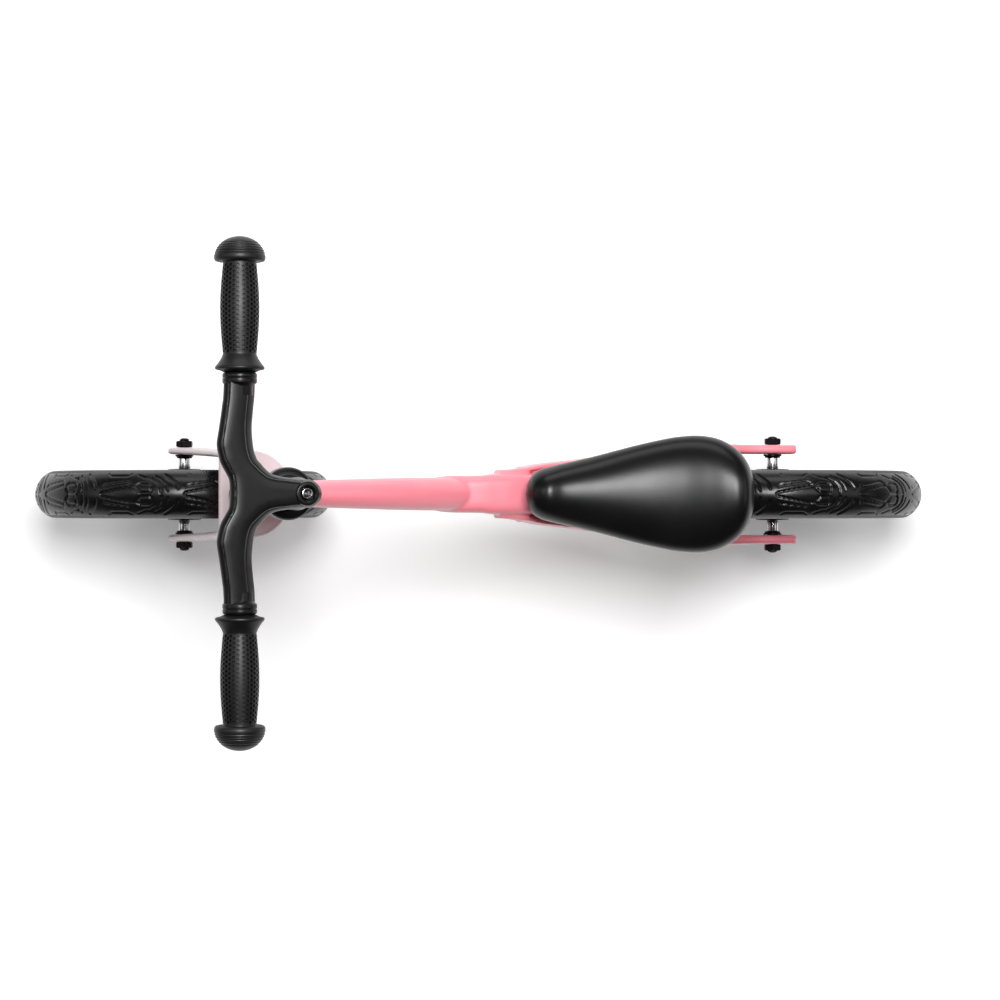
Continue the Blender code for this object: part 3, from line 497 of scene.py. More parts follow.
def tyre(end, hub):
    section, out = tyre_section()
    ahead = np.roll(section, -1, 0) - np.roll(section, 1, 0)
    normal = np.stack([ahead[:, 1], -ahead[:, 0]], 1)
    normal /= np.linalg.norm(normal, axis=1)[:, None]
    turns = 1240
    angle = 2 * np.pi * np.arange(turns) / turns
    from_start = angle - math.radians(TREAD_START[end])
    along = from_start / (2 * np.pi) * TREAD_LONG * TREAD_REPEATS % TREAD_LONG
    depth = tread_depth(*np.meshgrid(along, np.clip(out, -60, 60), indexing="ij")) * MM
    radius = section[:, 0] - normal[:, 0] * depth
    across = section[:, 1] - normal[:, 1] * depth
    rings = np.stack([hub.x + radius * np.cos(angle)[:, None], across + 0 * angle[:, None],
                      hub.z + radius * np.sin(angle)[:, None]], -1)
    obj = skin(end + "_tyre_tread", rings, FOAM, 60, around=True)
    return worn(obj, end + "_wheel", "tyre", end + "_tyre")


# ---------------------------------------------------------------- wheels

SPOKE_COUNT = 8
RIM_SEAT_R = 0.1042


def spoke_ring_tree(count):
    """Geometry Nodes: one spoke copied round the wheel's axis, then made real."""
    tree, given = node_group("spokes_round_hub", {}, {"Spokes": count}, RIM_NYLON)
    points = add(tree, "GeometryNodePoints", {"Count": given["Spokes"]}).outputs[0]
    index = add(tree, "GeometryNodeInputIndex").outputs[0]
    share = maths(tree, "DIVIDE", index, given["Spokes"])
    half = maths(tree, "DIVIDE", 0.5, given["Spokes"])
    angle = maths(tree, "MULTIPLY", maths(tree, "ADD", share, half), 2 * math.pi)
    spin = add(tree, "ShaderNodeCombineXYZ", {"Z": angle}).outputs[0]
    return made_real(tree, given, points, given["Geometry"], spin)


def spokes(end, place):
    """Ribbed spokes, waisted in the middle and flared where they meet hub and rim."""
    # Each station: distance out, half-width, half-thickness
    stations = [(0.0130, 0.0049, 0.0130), (0.0190, 0.0050, 0.0110), (0.0320, 0.0055, 0.0088),
                (0.0600, 0.0064, 0.0074), (0.0850, 0.0080, 0.0072), (0.0940, 0.0105, 0.0074),
                (0.0985, 0.0135, 0.0074)]
    rings = []
    for out, half_wide, half_thick in through(stations, 15):
        ring = oval((out, 0, 0), (0, 1, 0), (0, 0, 1), half_wide, half_thick, 4.0, 32)
        trough = np.clip((half_wide * 0.55 - np.abs(ring[:, 1])) / (0.8 * MM), 0, 1)
        inner = min(max((out - 0.022) / 0.006, 0), 1) * min(max((0.090 - out) / 0.006, 0), 1)
        ring[:, 2] -= np.sign(ring[:, 2]) * trough * inner * 1.6 * MM
        rings.append(ring)
    obj = skin(end + "_spokes", rings, RIM_NYLON)
    modifier = obj.modifiers.new("spokes", "NODES")
    modifier.node_group = spoke_ring_tree(SPOKE_COUNT)
    baked(obj)
    obj.data.transform(place)
    return obj


def wheel(end, hub):
    """The one-piece moulded rim: ring, ribbed spokes and hub, with its sealed bearings."""
    place = placing(hub, (0, 1, 0))
    rim = ring_of(end + "_moulded_rim", [
        (0.0955, 0.0128), (0.0985, 0.0145), (RIM_SEAT_R, 0.0145), (RIM_SEAT_R, 0.0128), (0.1015, 0.0112),
        (0.1015, -0.0112), (RIM_SEAT_R, -0.0128), (RIM_SEAT_R, -0.0145), (0.0985, -0.0145), (0.0955, -0.0128),
    ], 0.8 * MM, place, RIM_NYLON, 144)
    hub_shell = turned("hub_shell", softened([
        (0, 0.0245), (0.0150, 0.0245), (0.0165, 0.0236), (0.0170, 0.0150), (0.0180, 0.0), (0.0170, -0.0150),
        (0.0165, -0.0236), (0.0150, -0.0245), (0, -0.0245)], 0.8 * MM), place, RIM_NYLON, 96)
    cut(rim, [hub_shell, spokes(end, place)], "UNION")
    ways = [rod_at("bore", place, -0.03, 0.03, 7.5 * MM, RIM_NYLON, 48)]
    for low, high in ((0.0157, 0.03), (-0.03, -0.0157)):
        ways.append(rod_at("pocket", place, low, high, 13.3 * MM, RIM_NYLON, 72))
    cut(rim, ways)
    body = end + "_wheel"
    worn(rim, body, "rim", end + "_rim", end + "_hub")
    for hand, side in (("left", 1), ("right", -1)):
        bearing = ring_of(f"{end}_sealed_bearing_{hand}", [
            (0.0049, 0.0161), (0.0130, 0.0161), (0.0130, 0.0240), (0.0117, 0.0240), (0.0115, 0.0236),
            (0.0072, 0.0236), (0.0070, 0.0240), (0.0049, 0.0240),
        ], 0.2 * MM, placing(hub, (0, side, 0)), BEARING_STEEL, 64)
        worn(bearing, body, "bright_steel", f"{end}_bearing_{hand}")


# ---------------------------------------------------------------- axles

def hexagon(name, across, low, high, hole, place, finish):
    """A hexagon nut with chamfered corners on both faces and a countersunk, threaded hole."""
    turns = 96
    angle = 2 * np.pi * np.arange(turns) / turns
    flat = across / 2 / np.cos((angle + np.pi / 6) % (np.pi / 3) - np.pi / 6)
    slope = math.tan(math.radians(30))
    stations = [(hole * 1.12, low)]
    for height in [low] + list(np.linspace(low, high, 9)) + [high]:
        limit = across / 2 * 0.95 + min(height - low, high - height) / slope
        stations.append((np.minimum(flat, limit), height))
    stations += [(hole * 1.12, high), (hole, high - 0.5 * MM), (hole, low + 0.5 * MM)]
    return skin(name, lathe_rings(stations, angle, place), finish, 25, around=True)


def threaded_end(start, stop, crest, pitch=0.98 * MM):
    """The outline of a threaded rod's end, its ridges as rings."""
    points = []
    count = int((stop - start) / pitch)
    for i in range(count):
        base = start + i * pitch
        points += [(crest, base + 0.12 * pitch), (crest - 0.42 * MM, base + 0.62 * pitch)]
    return points


def axle(end, hub, body):
    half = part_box(end + "_axle")[1].y
    arm_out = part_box(end + "_nut_left")[0].y - GAP
    washer_in, washer_out = (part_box(end + "_washer_left")[i].y for i in (0, 1))
    crest = 4.6 * MM
    thread_from = arm_out + 4.6 * MM
    ridges = threaded_end(thread_from, half - 1.6 * MM, crest)
    upper = [(0, half), (2.4 * MM, half - 0.15 * MM), (3.9 * MM, half - 0.9 * MM), (crest, half - 1.5 * MM)]
    upper += [(r, h) for r, h in reversed(ridges)] + [(crest, thread_from)]
    lower = [(r, -h) for r, h in reversed(upper)]
    rod = turned(end + "_axle_rod", upper + lower, placing(hub, (0, 1, 0)), BLACK_ZINC, 64)
    worn(rod, body, "black_steel", end + "_axle")
    for hand, side in (("left", 1), ("right", -1)):
        place = placing(hub, (0, side, 0))
        nut = hexagon(f"{end}_hex_nut_{hand}", 15 * MM, arm_out + GAP, arm_out + GAP + 6 * MM, 4.9 * MM,
                      place, BLACK_ZINC)
        worn(nut, body, "black_steel", f"{end}_nut_{hand}")
        washer = ring_of(f"{end}_flange_washer_{hand}", [
            (4.9 * MM, washer_out), (8.75 * MM, washer_out), (8.75 * MM, washer_out - 1.4 * MM),
            (7.4 * MM, washer_out - 1.9 * MM), (7.2 * MM, washer_in), (4.9 * MM, washer_in),
        ], 0.3 * MM, place, BLACK_ZINC, 64)
        worn(washer, body, "black_steel", f"{end}_washer_{hand}")
        spacer_in, spacer_out = (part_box(f"{end}_spacer_left")[i].y for i in (0, 1))
        spacer = ring_of(f"{end}_polished_spacer_{hand}", [
            (4.9 * MM, spacer_out), (5.6 * MM, spacer_out), (5.6 * MM, spacer_in), (4.9 * MM, spacer_in),
        ], 0.25 * MM, place, BRIGHT, 64)
        worn(spacer, body, "bright_steel", f"{end}_spacer_{hand}")


# ---------------------------------------------------------------- frame

def rod_at(name, place, low, high, radius, finish, segments=64):
    return turned(name, [(0, high), (radius, high), (radius, low), (0, low)], place, finish, segments)


def rise(angle):
    return np.array([-math.sin(angle), 0, math.cos(angle)])


def top_tube():
    rings = []
    for x in np.linspace(0.161, -0.0133, 40):
        slope = 0.915 + 5.48 * (0.07 - x)
        crest = 0.384 + 0.915 * (x - 0.07) - 5.48 / 2 * (x - 0.07) ** 2
        up = rise(math.atan(slope))
        half_wide = np.interp(x, [-0.02, 0.0335, 0.066, 0.135, 0.17],
                              [0.0147, 0.01475, 0.014, 0.0115, 0.0115])
        rings.append(oval(np.array([x, 0, crest]) - up * 0.0172, (0, 1, 0), up, half_wide, 0.0172,
                          np.interp(x, [-0.0133, 0.02], [1.7, 2.3])))
    return skin("top_tube", rings, PINK)


def deck():
    # Each station: place along the bike, top, height, half-width
    stations = [
        (0.0520, 0.3290, 0.022, 0.0105), (0.0400, 0.3230, 0.032, 0.0145), (0.0250, 0.3180, 0.042, 0.0166),
        (-0.0030, 0.3130, 0.048, 0.0171), (-0.0160, 0.3100, 0.049, 0.0185), (-0.0450, 0.3010, 0.051, 0.0185),
        (-0.0800, 0.2850, 0.052, 0.0180), (-0.1050, 0.2710, 0.050, 0.0170), (-0.1260, 0.2600, 0.046, 0.0140),
    ]
    rings = [oval((x, 0, top - height / 2), (0, 1, 0), (0, 0, 1), half, height / 2, 5.0, 64)
             for x, top, height, half in through(stations, 41)]
    return skin("deck", rings, PINK)


def rear_arm(side):
    # Each station: place along the bike, height of its middle, outer half-width, thickness, depth
    stations = [
        (-0.0180, 0.2800, 0.0220, 0.0040, 0.036), (-0.0280, 0.2775, 0.0226, 0.0042, 0.036),
        (-0.0400, 0.2730, 0.0244, 0.0040, 0.035), (-0.0570, 0.2640, 0.0280, 0.0045, 0.034),
        (-0.0940, 0.2420, 0.0327, 0.0060, 0.032), (-0.1500, 0.2070, 0.0402, 0.0075, 0.030),
        (-0.1950, 0.1790, 0.0462, 0.0086, 0.029), (-0.2250, 0.1620, 0.0482, 0.0088, 0.029),
        (-0.2550, 0.1480, 0.0479, 0.0088, 0.031), (-0.2838, 0.1420, 0.0478, 0.0088, 0.036),
        (-0.3020, 0.1400, 0.0478, 0.0088, 0.032), (-0.3056, 0.1398, 0.0478, 0.0084, 0.024),
    ]
    rows = through(stations, 67)
    rings = []
    for i, (x, z, outer, thick, deep) in enumerate(rows):
        before, after = rows[max(i - 1, 0)], rows[min(i + 1, len(rows) - 1)]
        up = rise(math.atan2(before[1] - after[1], before[0] - after[0]) * 0.8)
        rings.append(oval((x, side * (outer - thick / 2), z), (0, side, 0), up, thick / 2, deep / 2, 4.5))
    return skin("rear_arm", rings, PINK)


def bridge(x, z, half_long, half_deep, half_wide):
    """A flattened bar across the bike that ties both arms to what lies between them."""
    rings = [oval((x, y, z), (1, 0, 0), (0, 0, 1), half_long, half_deep, 2.6)
             for y in (-half_wide, half_wide)]
    return skin("bridge", rings, PINK)


def slot_at(hub, half=0.06):
    """The space that an axle drops into."""
    outline = [(-4.9 * MM, -0.03), (4.9 * MM, -0.03)]
    outline += [(4.9 * MM * math.cos(a), 4.9 * MM * math.sin(a)) for a in np.linspace(0, math.pi, 17)]
    rings = [[(hub.x + x, y, hub.z + z) for x, z in outline] for y in (-half, half)]
    return skin("slot", rings, PINK)


def bike_frame():
    low, high = 0.3643, 0.478
    head = turned("welded_frame", softened([
        (0, high), (0.0180, high), (0.0180, high - 4 * MM), (0.0174, high - 6 * MM), (0.0174, low + 6 * MM),
        (0.0180, low + 4 * MM), (0.0180, low), (0, low)], 0.8 * MM), STEER, PINK, 64)
    cut(head, [top_tube(), deck(), rear_arm(1), rear_arm(-1),
               bridge(-0.0560, 0.2640, 0.0195, 0.0085, 0.0255),
               bridge(-0.1165, 0.2270, 0.0080, 0.0075, 0.0320),
               rod_at("seat_tube", SEAT_LINE, 0.024, 0.142, 15.9 * MM, PINK)], "UNION")
    cut(head, [rod_at("head_bore", STEER, 0.35, 0.49, 15 * MM, PINK),
               rod_at("seat_bore", SEAT_LINE, -0.02, 0.16, 13 * MM, PINK), slot_at(REAR_HUB)])
    cast(head, 1.35 * MM, 2)
    worn(head, "frame", "pink_frame", "frame")


# ---------------------------------------------------------------- fork

def fork():
    top, deep, half, front, corner = 0.349, 0.030, 0.0389, 0.026, 6 * MM
    outline = []
    for a in np.linspace(0, math.pi / 2, 9):
        outline.append((front - corner + corner * math.cos(a), half - corner + corner * math.sin(a)))
    for a in np.linspace(math.pi / 2, math.pi * 3 / 2, 49):
        outline.append((-0.006 + 0.036 * math.cos(a), half * math.sin(a)))
    for a in np.linspace(math.pi / 2, 0, 9):
        outline.append((front - corner + corner * math.cos(a), -(half - corner + corner * math.sin(a))))
    outline = np.array(outline)
    inward = np.array([-0.004, 0])
    rings = []
    for step in range(7):
        a = math.pi / 2 * step / 6
        rings.append((top - deep + 4 * MM * (1 - math.sin(a)), 4 * MM * (1 - math.cos(a))))
    rings = [(h, inset) for h, inset in reversed(rings)]
    rings += [(2 * (top - deep / 2) - h, inset) for h, inset in reversed(rings)]
    shapes = []
    for height, inset in rings:
        shaped = inward + (outline - inward) * (1 - inset / half)
        # The front face stands upright, so it is cut back below against the lean of the axis
        shaped[:, 0] -= np.clip(shaped[:, 0] / front, 0, 1) * 7 * MM * (top - height) / deep
        shapes.append([STEER @ Vector((x, y, height)) for x, y in shaped])
    crown = skin("forged_fork", shapes, PALE)
    cut(crown, [fork_leg(1), fork_leg(-1)], "UNION")
    cut(crown, [rod_at("crown_bore", STEER, 0.30, 0.36, 13 * MM, PALE), slot_at(FRONT_HUB)])
    cast(crown, 1.0 * MM, 2)
    worn(crown, "steering", "pale_fork", "fork")


def fork_leg(side):
    # Each station: height up the steering axis, distance ahead of it, depth
    stations = [
        (0.3400, 0.0040, 0.0340), (0.3150, 0.0010, 0.0400), (0.2850, -0.0010, 0.0370),
        (0.2400, 0.0010, 0.0330), (0.1950, 0.0065, 0.0300), (0.1600, 0.0115, 0.0308),
        (0.1457, 0.0130, 0.0312), (0.1377, 0.0130, 0.0268), (0.1325, 0.0130, 0.0166),
        (0.1306, 0.0130, 0.0070),
    ]
    fore = np.array(STEER.to_3x3().col[0])
    rings = []
    for up, ahead, deep in through(stations, 55):
        outer = np.interp(up, [0.150, 0.335], [0.0454, 0.0387])
        centre = STEER @ Vector((ahead, side * (outer - 3.4 * MM), up))
        rings.append(oval(centre, (0, side, 0), fore, 3.4 * MM, max(deep, 6 * MM) / 2, 4.0, 40))
    return skin("fork_leg", rings, PALE)


# ---------------------------------------------------------------- headset and quill

def headset():
    top, foot = 0.5015, 0.4865
    outline = [(0.0117, top), (0.0140, top), (0.0142, top - 0.35 * MM), (0.0150, top - 0.35 * MM),
               (0.0152, top), (0.0178, top - 0.2 * MM), (0.0180, top - 0.7 * MM), (0.0188, top - 0.75 * MM),
               (0.0190, top - 0.4 * MM), (0.0208, top - 1.3 * MM), (0.0221, top - 3.2 * MM),
               (0.0224, top - 5 * MM),
               (0.0224, foot), (0.0207, foot), (0.0207, top - 5 * MM), (0.0190, top - 3 * MM),
               (0.0117, top - 2.2 * MM)]
    cover = ring_of("headset_disc", outline, 0.25 * MM, STEER, COVER_PLASTIC, 128, 30)
    worn(cover, "steering", "black_plastic", "headset_cover")
    for name, lower in (("headset_cup_upper", False), ("headset_cup_lower", True)):
        face = 0.4783 if not lower else 0.3640
        outer = 0.0195 if not lower else 0.0182
        way = 1 if not lower else -1
        cup = ring_of(name + "_pressed", [
            (0.0137, face + way * 3.8 * MM), (0.0173, face + way * 3.8 * MM), (0.0173, face + way * 7.7 * MM),
            (outer - 0.6 * MM, face + way * 7.7 * MM), (outer, face + way * 6.6 * MM),
            (outer, face + way * 1 * MM), (outer - 0.6 * MM, face), (0.0147, face),
            (0.0147, face - way * 8 * MM), (0.0137, face - way * 8 * MM),
        ], 0.3 * MM, STEER, BLACK_ZINC)
        worn(cup, "frame", "black_steel", name)
    race = ring_of("ground_crown_race", [
        (0.0133, 0.3545), (0.0150, 0.3545), (0.0165, 0.3520), (0.0165, 0.3494), (0.0133, 0.3494),
    ], 0.3 * MM, STEER, BEARING_STEEL)
    worn(race, "steering", "bright_steel", "crown_race")
    tube = ring_of("drawn_quill_tube", [
        (0.0085, 0.5277), (0.0111, 0.5277), (0.0111, 0.4330), (0.0085, 0.4330),
    ], 0.4 * MM, STEER, BEARING_STEEL, 72)
    worn(tube, "handlebar", "bright_steel", "quill_tube")


def stem_bolt():
    """A socket-head cap screw: knurled edge, chamfered rim, hexagon socket."""
    head_low = BOSS_TOP - 0.0075
    turns = 96
    angle = 2 * np.pi * np.arange(turns) / turns
    socket = 2.75 * MM / np.cos((angle + np.pi / 6) % (np.pi / 3) - np.pi / 6)
    knurl = 5 * MM - 0.12 * MM * (0.5 + 0.5 * np.cos(angle * 32))
    stations = [(3 * MM, 0.410), (3 * MM, head_low), (4.8 * MM, head_low), (knurl, head_low + 0.3 * MM),
                (knurl, head_low + 4.6 * MM), (4.8 * MM, head_low + 5.2 * MM),
                (4.3 * MM, head_low + 5.8 * MM), (3.9 * MM, head_low + 5.9 * MM),
                (socket, head_low + 5.4 * MM), (socket, head_low + 1.6 * MM),
                (socket * 0.25, head_low + 0.3 * MM)]
    bolt = skin("socket_cap_screw", lathe_rings(stations, angle, STEER), CHROMED, 30)
    worn(bolt, "handlebar", "bright_steel", "stem_bolt")


# ---------------------------------------------------------------- handlebar

BOSS_TOP = 0.5615
BOSS_AT = STEER @ Vector((0, 0, BOSS_TOP))
LEAN = math.atan2(-STEER.col[2].x, STEER.col[2].z)
# Half the outline, as (out from the middle, along the bike): the front edge, then the rear edge and stem side
BAR_FRONT = [(0, 0.1991), (0.0106, 0.1999), (0.0163, 0.2024), (0.0244, 0.2065), (0.0326, 0.2086),
             (0.0407, 0.2097), (0.0530, 0.2080), (0.0700, 0.2057), (0.0855, 0.2043), (0.1300, 0.2040)]
BAR_REAR = [(0.0117, 0.1378), (0.0120, 0.1450), (0.0130, 0.1530), (0.0143, 0.1610), (0.0163, 0.1665),
            (0.0204, 0.1714), (0.0244, 0.1747), (0.0285, 0.1780), (0.0367, 0.1806), (0.0530, 0.1820),
            (0.0700, 0.1808), (0.0855, 0.1796), (0.1300, 0.1790)]
STEM_END_R = 0.0117


def bar_edges():
    """The front edge and the rear edge, right across the bar, as lines of many points."""
    front = through(BAR_FRONT, 110)
    front = np.vstack([front[::-1] * (-1, 1), front[1:]])
    side = through(BAR_REAR, 150)
    end = [(STEM_END_R * math.sin(a), BOSS_AT.x + 1.6 * MM - STEM_END_R * math.cos(a))
           for a in np.linspace(0, math.pi / 2, 24)[:-1]]
    rear = np.vstack([end, side])
    rear = np.vstack([rear[::-1] * (-1, 1), rear[1:]])
    return front, rear


def distance_to(lines, across, along):
    """Distance from each place to the nearest of the lines."""
    nearest = np.full(across.shape, 9.0)
    for line in lines:
        for (ax, ay), (bx, by) in zip(line, line[1:]):
            dx, dy = bx - ax, by - ay
            t = np.clip(((across - ax) * dx + (along - ay) * dy) / (dx * dx + dy * dy + 1e-18), 0, 1)
            nearest = np.minimum(nearest, np.hypot(across - ax - t * dx, along - ay - t * dy))
    return nearest


def bar_upper(front_inset, rear_inset, across, along):
    """Height of the bar's upper side over its middle: a sloping band, a groove, then a crisp raised panel."""
    by_stem = np.clip((0.185 - along) / 0.030, 0, 1) * np.clip((0.030 - np.abs(across)) / 0.012, 0, 1)
    rear_band = (4.4 - 2.0 * by_stem) * MM
    front_band = 5.6 * MM
    share = np.clip(np.minimum(front_inset / front_band, rear_inset / rear_band), 0, 1)
    inner = np.minimum(front_inset - front_band, rear_inset - rear_band)
    band = 8.6 * MM * share ** 0.6
    groove = 0.9 * MM * np.exp(-((inner + 0.35 * MM) / (0.5 * MM)) ** 2)
    crown = 1 - (1 - np.clip(inner / (8 * MM), 0, 1)) ** 2
    panel = 9.7 * MM + 0.9 * MM * (1 - np.exp(-np.clip(inner, 0, 1) / (0.5 * MM))) + 0.8 * MM * crown
    return np.where(inner > 0, panel - groove, band - groove * share ** 4)


def bar_lower(inset):
    """Depth of the bar's rounded underside below its middle."""
    return 11.4 * MM * (1 - (1 - np.clip(inset / (12.6 * MM), 0, 1)) ** 2.3) ** (1 / 2.3)


def bar_body():
    """The bowed T in one piece, from its plan outline and the distance in from its edge."""
    front, rear = bar_edges()
    out = np.concatenate([np.linspace(0, 0.0112, 20), np.linspace(0.0114, 0.0170, 34),
                          np.linspace(0.0176, 0.0930, 100)])
    out = np.concatenate([-out[::-1], out[1:]])
    # The rear edge runs almost along the bike beside the stem, so it is read against a rising distance
    half_rear, half_front = rear[len(rear) // 2:], front[len(front) // 2:]
    rising = np.maximum.accumulate(half_rear[:, 0] + np.arange(len(half_rear)) * 1e-9)
    rear_at = np.interp(np.abs(out), rising, half_rear[:, 1])
    front_at = np.interp(np.abs(out), half_front[:, 0], half_front[:, 1])
    share = 0.5 - 0.5 * np.cos(np.pi * np.linspace(0, 1, 96))
    along = rear_at[:, None] + (front_at - rear_at)[:, None] * share
    across = out[:, None] + 0 * along
    front_inset = distance_to((front,), across, along)
    rear_inset = distance_to((rear,), across, along)
    front_inset[:, -1] = 0
    rear_inset[:, 0] = 0
    middle = BAR_Z + (along - BAR_X) * math.tan(LEAN)
    upper = np.stack([along, across, middle + bar_upper(front_inset, rear_inset, across, along)], -1)
    lower = np.stack([along, across, middle - bar_lower(np.minimum(front_inset, rear_inset))], -1)
    rings = np.concatenate([upper, lower[:, -2:0:-1]], axis=1)
    return skin("cast_t_bar", rings, BAR_COAT, 60)


def handlebar():
    bar = bar_body()
    top = BOSS_TOP
    boss = turned("boss", softened([
        (0, top), (0.0090, top), (0.0101, top - 1.2 * MM), (0.0104, top - 8 * MM), (0.0106, top - 20 * MM),
        (0.0138, top - 34 * MM), (0.0138, 0.5095), (0.0130, 0.508), (0, 0.508),
    ], 0.8 * MM), STEER, BAR_COAT, 80)
    parts = [boss]
    for side in (1, -1):
        place = placing((BAR_X, 0, BAR_Z), (0, side, 0))
        parts.append(turned("collar", softened([
            (0, 0.080), (0.0106, 0.080), (0.0108, 0.0880), (0.0128, 0.0893), (0.01415, 0.0903),
            (0.01425, 0.0935),
            (0.0137, 0.0942), (0.01425, 0.0950), (0.01425, 0.0972), (0.0134, 0.0984), (0.0110, 0.0985),
            (0.0110, 0.2000), (0, 0.2000)], 0.6 * MM), place, BAR_COAT, 64))
    cut(bar, parts, "UNION")
    cut(bar, [rod_at("socket", STEER, 0.49, 0.528, 11.4 * MM, BAR_COAT),
              turned("counterbore", [(0, 0.60), (0.0300, 0.60), (0.0072, top), (0.0064, top - 0.6 * MM),
                                     (0.0064, top - 7.8 * MM), (0, top - 7.8 * MM)], STEER, BAR_COAT, 64),
              rod_at("bolt_way", STEER, 0.49, 0.60, 3.3 * MM, BAR_COAT, 32)])
    worn(remade(bar, "t_handlebar", BAR_COAT, 35), "handlebar", "black_bar", "handlebar")


# ---------------------------------------------------------------- grips

GRIP_IN = 0.0988
HOLE_COLUMNS = 28
BARREL = (0.1140, 0.1878)
BARREL_END_R = 13.7 * MM
BARREL_SWELL = 2.3 * MM


def barrel_radius(out):
    """The barrel swells from its ends to its middle."""
    share = np.clip((out - BARREL[0]) / (BARREL[1] - BARREL[0]), 0, 1)
    return BARREL_END_R + BARREL_SWELL * np.sin(np.pi * share)


def pit_tree():
    """Geometry Nodes: a blunt peg at each of a barrel's staggered places, to press its pits."""
    tree, given = node_group("staggered_pits", {
        "Hole Radius": 1.35 * MM, "Pitch": 3.78 * MM, "Start": BARREL[0] + 1.8 * MM, "Seam Angle": 0.0,
        "Seam Width": 0.31}, {"Rows": 19, "Columns": HOLE_COLUMNS}, GRIP_RUBBER)
    points = add(tree, "GeometryNodePoints", {
        "Count": maths(tree, "MULTIPLY", given["Rows"], given["Columns"])}).outputs[0]
    index = add(tree, "GeometryNodeInputIndex").outputs[0]
    row = maths(tree, "FLOOR", maths(tree, "DIVIDE", index, given["Columns"]))
    column = maths(tree, "MODULO", index, given["Columns"])
    # A plain seam runs along the top, and the columns share out what is left of the way round
    turn = maths(tree, "SUBTRACT", 2 * math.pi, given["Seam Width"])
    step = maths(tree, "DIVIDE", turn, maths(tree, "SUBTRACT", given["Columns"], 1.0))
    first = maths(tree, "ADD", given["Seam Angle"], maths(tree, "MULTIPLY", given["Seam Width"], 0.5))
    angle = maths(tree, "ADD", first, maths(tree, "MULTIPLY", column, step))
    stagger = maths(tree, "MULTIPLY", maths(tree, "MODULO", column, 2.0), 0.5)
    pitches = maths(tree, "MULTIPLY", maths(tree, "ADD", row, stagger), given["Pitch"])
    out = maths(tree, "ADD", given["Start"], pitches)
    along = maths(tree, "SUBTRACT", out, BARREL[0])
    swell = maths(tree, "MULTIPLY", along, math.pi / (BARREL[1] - BARREL[0]))
    bulge = maths(tree, "MULTIPLY", maths(tree, "SINE", swell), BARREL_SWELL)
    radius = maths(tree, "ADD", BARREL_END_R, bulge)
    fore, aside = maths(tree, "COSINE", angle), maths(tree, "SINE", angle)
    across = maths(tree, "MULTIPLY", radius, fore)
    up = maths(tree, "MULTIPLY", radius, aside)
    place = add(tree, "ShaderNodeCombineXYZ", {0: across, 1: up, 2: out}).outputs[0]
    outward = add(tree, "ShaderNodeCombineXYZ", {0: fore, 1: aside}).outputs[0]
    aim = add(tree, "FunctionNodeAlignRotationToVector", {"Vector": outward}, axis="Z").outputs[0]
    peg = add(tree, "GeometryNodeMeshCylinder", {
        "Vertices": 10, "Radius": given["Hole Radius"], "Depth": 5 * MM}, fill_type="NGON").outputs[0]
    moved = add(tree, "GeometryNodeSetPosition", {"Geometry": points, "Position": place}).outputs[0]
    return made_real(tree, given, moved, peg, aim)


PIT_TREE = pit_tree()


def pits(place, side):
    obj = bpy.data.objects.new("pits", bpy.data.meshes.new("pits"))
    bpy.context.scene.collection.objects.link(obj)
    modifier = obj.modifiers.new("pits", "NODES")
    modifier.node_group = PIT_TREE
    # The seam lies on top, leaning 2.4 mm back
    seam = math.atan2(-side * math.cos(0.15), -math.sin(0.15))
    for item in PIT_TREE.interface.items_tree:
        if item.name == "Seam Angle":
            modifier[item.identifier] = seam
    baked(obj)
    obj.data.transform(place)
    return obj


def grip(side, hand):
    """A flared flange, a pitted barrel and a grooved dome, in one moulding round the bar."""
    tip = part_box("grip_" + hand)[1 if side > 0 else 0].y * side
    dome_long, dome_r = 17.6 * MM, 21.0 * MM
    outline = [(0, tip)]
    for step in range(1, 61):
        back = dome_long * (1 - math.cos(math.pi / 2 * step / 60))
        radius = dome_r * math.sin(math.pi / 2 * step / 60)
        groove = sum(math.exp(-((back / MM - at) / 0.4) ** 2) for at in (6.2, 8.3, 10.4, 12.6, 14.7))
        outline.append((radius - 0.6 * MM * groove, tip - back))
    outline += [(0.0208, tip - 19.2 * MM), (0.0200, tip - 20.4 * MM), (0.0184, tip - 20.9 * MM),
                (0.0166, tip - 20.6 * MM), (0.0148, tip - 20.4 * MM), (0.0138, tip - 21.0 * MM)]
    for out in np.linspace(BARREL[1], BARREL[0], 40):
        outline.append((float(barrel_radius(out)), out))
    outline += [(0.0138, 0.1134), (0.0144, 0.1120), (0.0152, 0.1102), (0.0164, 0.1082), (0.0179, 0.1060),
                (0.0193, 0.1043), (0.0201, 0.1033), (0.0203, 0.1022), (0.0199, 0.1013), (0.0188, 0.1009),
                (0.0165, 0.1005), (0.0128, GRIP_IN), (0.0113, GRIP_IN), (0.0113, 0.2003), (0, 0.2003)]
    place = placing((BAR_X, 0, BAR_Z), (0, side, 0))
    obj = turned("grip", outline, place, GRIP_RUBBER, 120, angle=50)
    cut(obj, [pits(place, side)])
    worn(remade(obj, "ribbed_grip_" + hand, GRIP_RUBBER, 45), "handlebar", "grip", "grip_" + hand)


# ---------------------------------------------------------------- seat

NOSE_X = -0.0438
SEAT_LONG = 0.2049
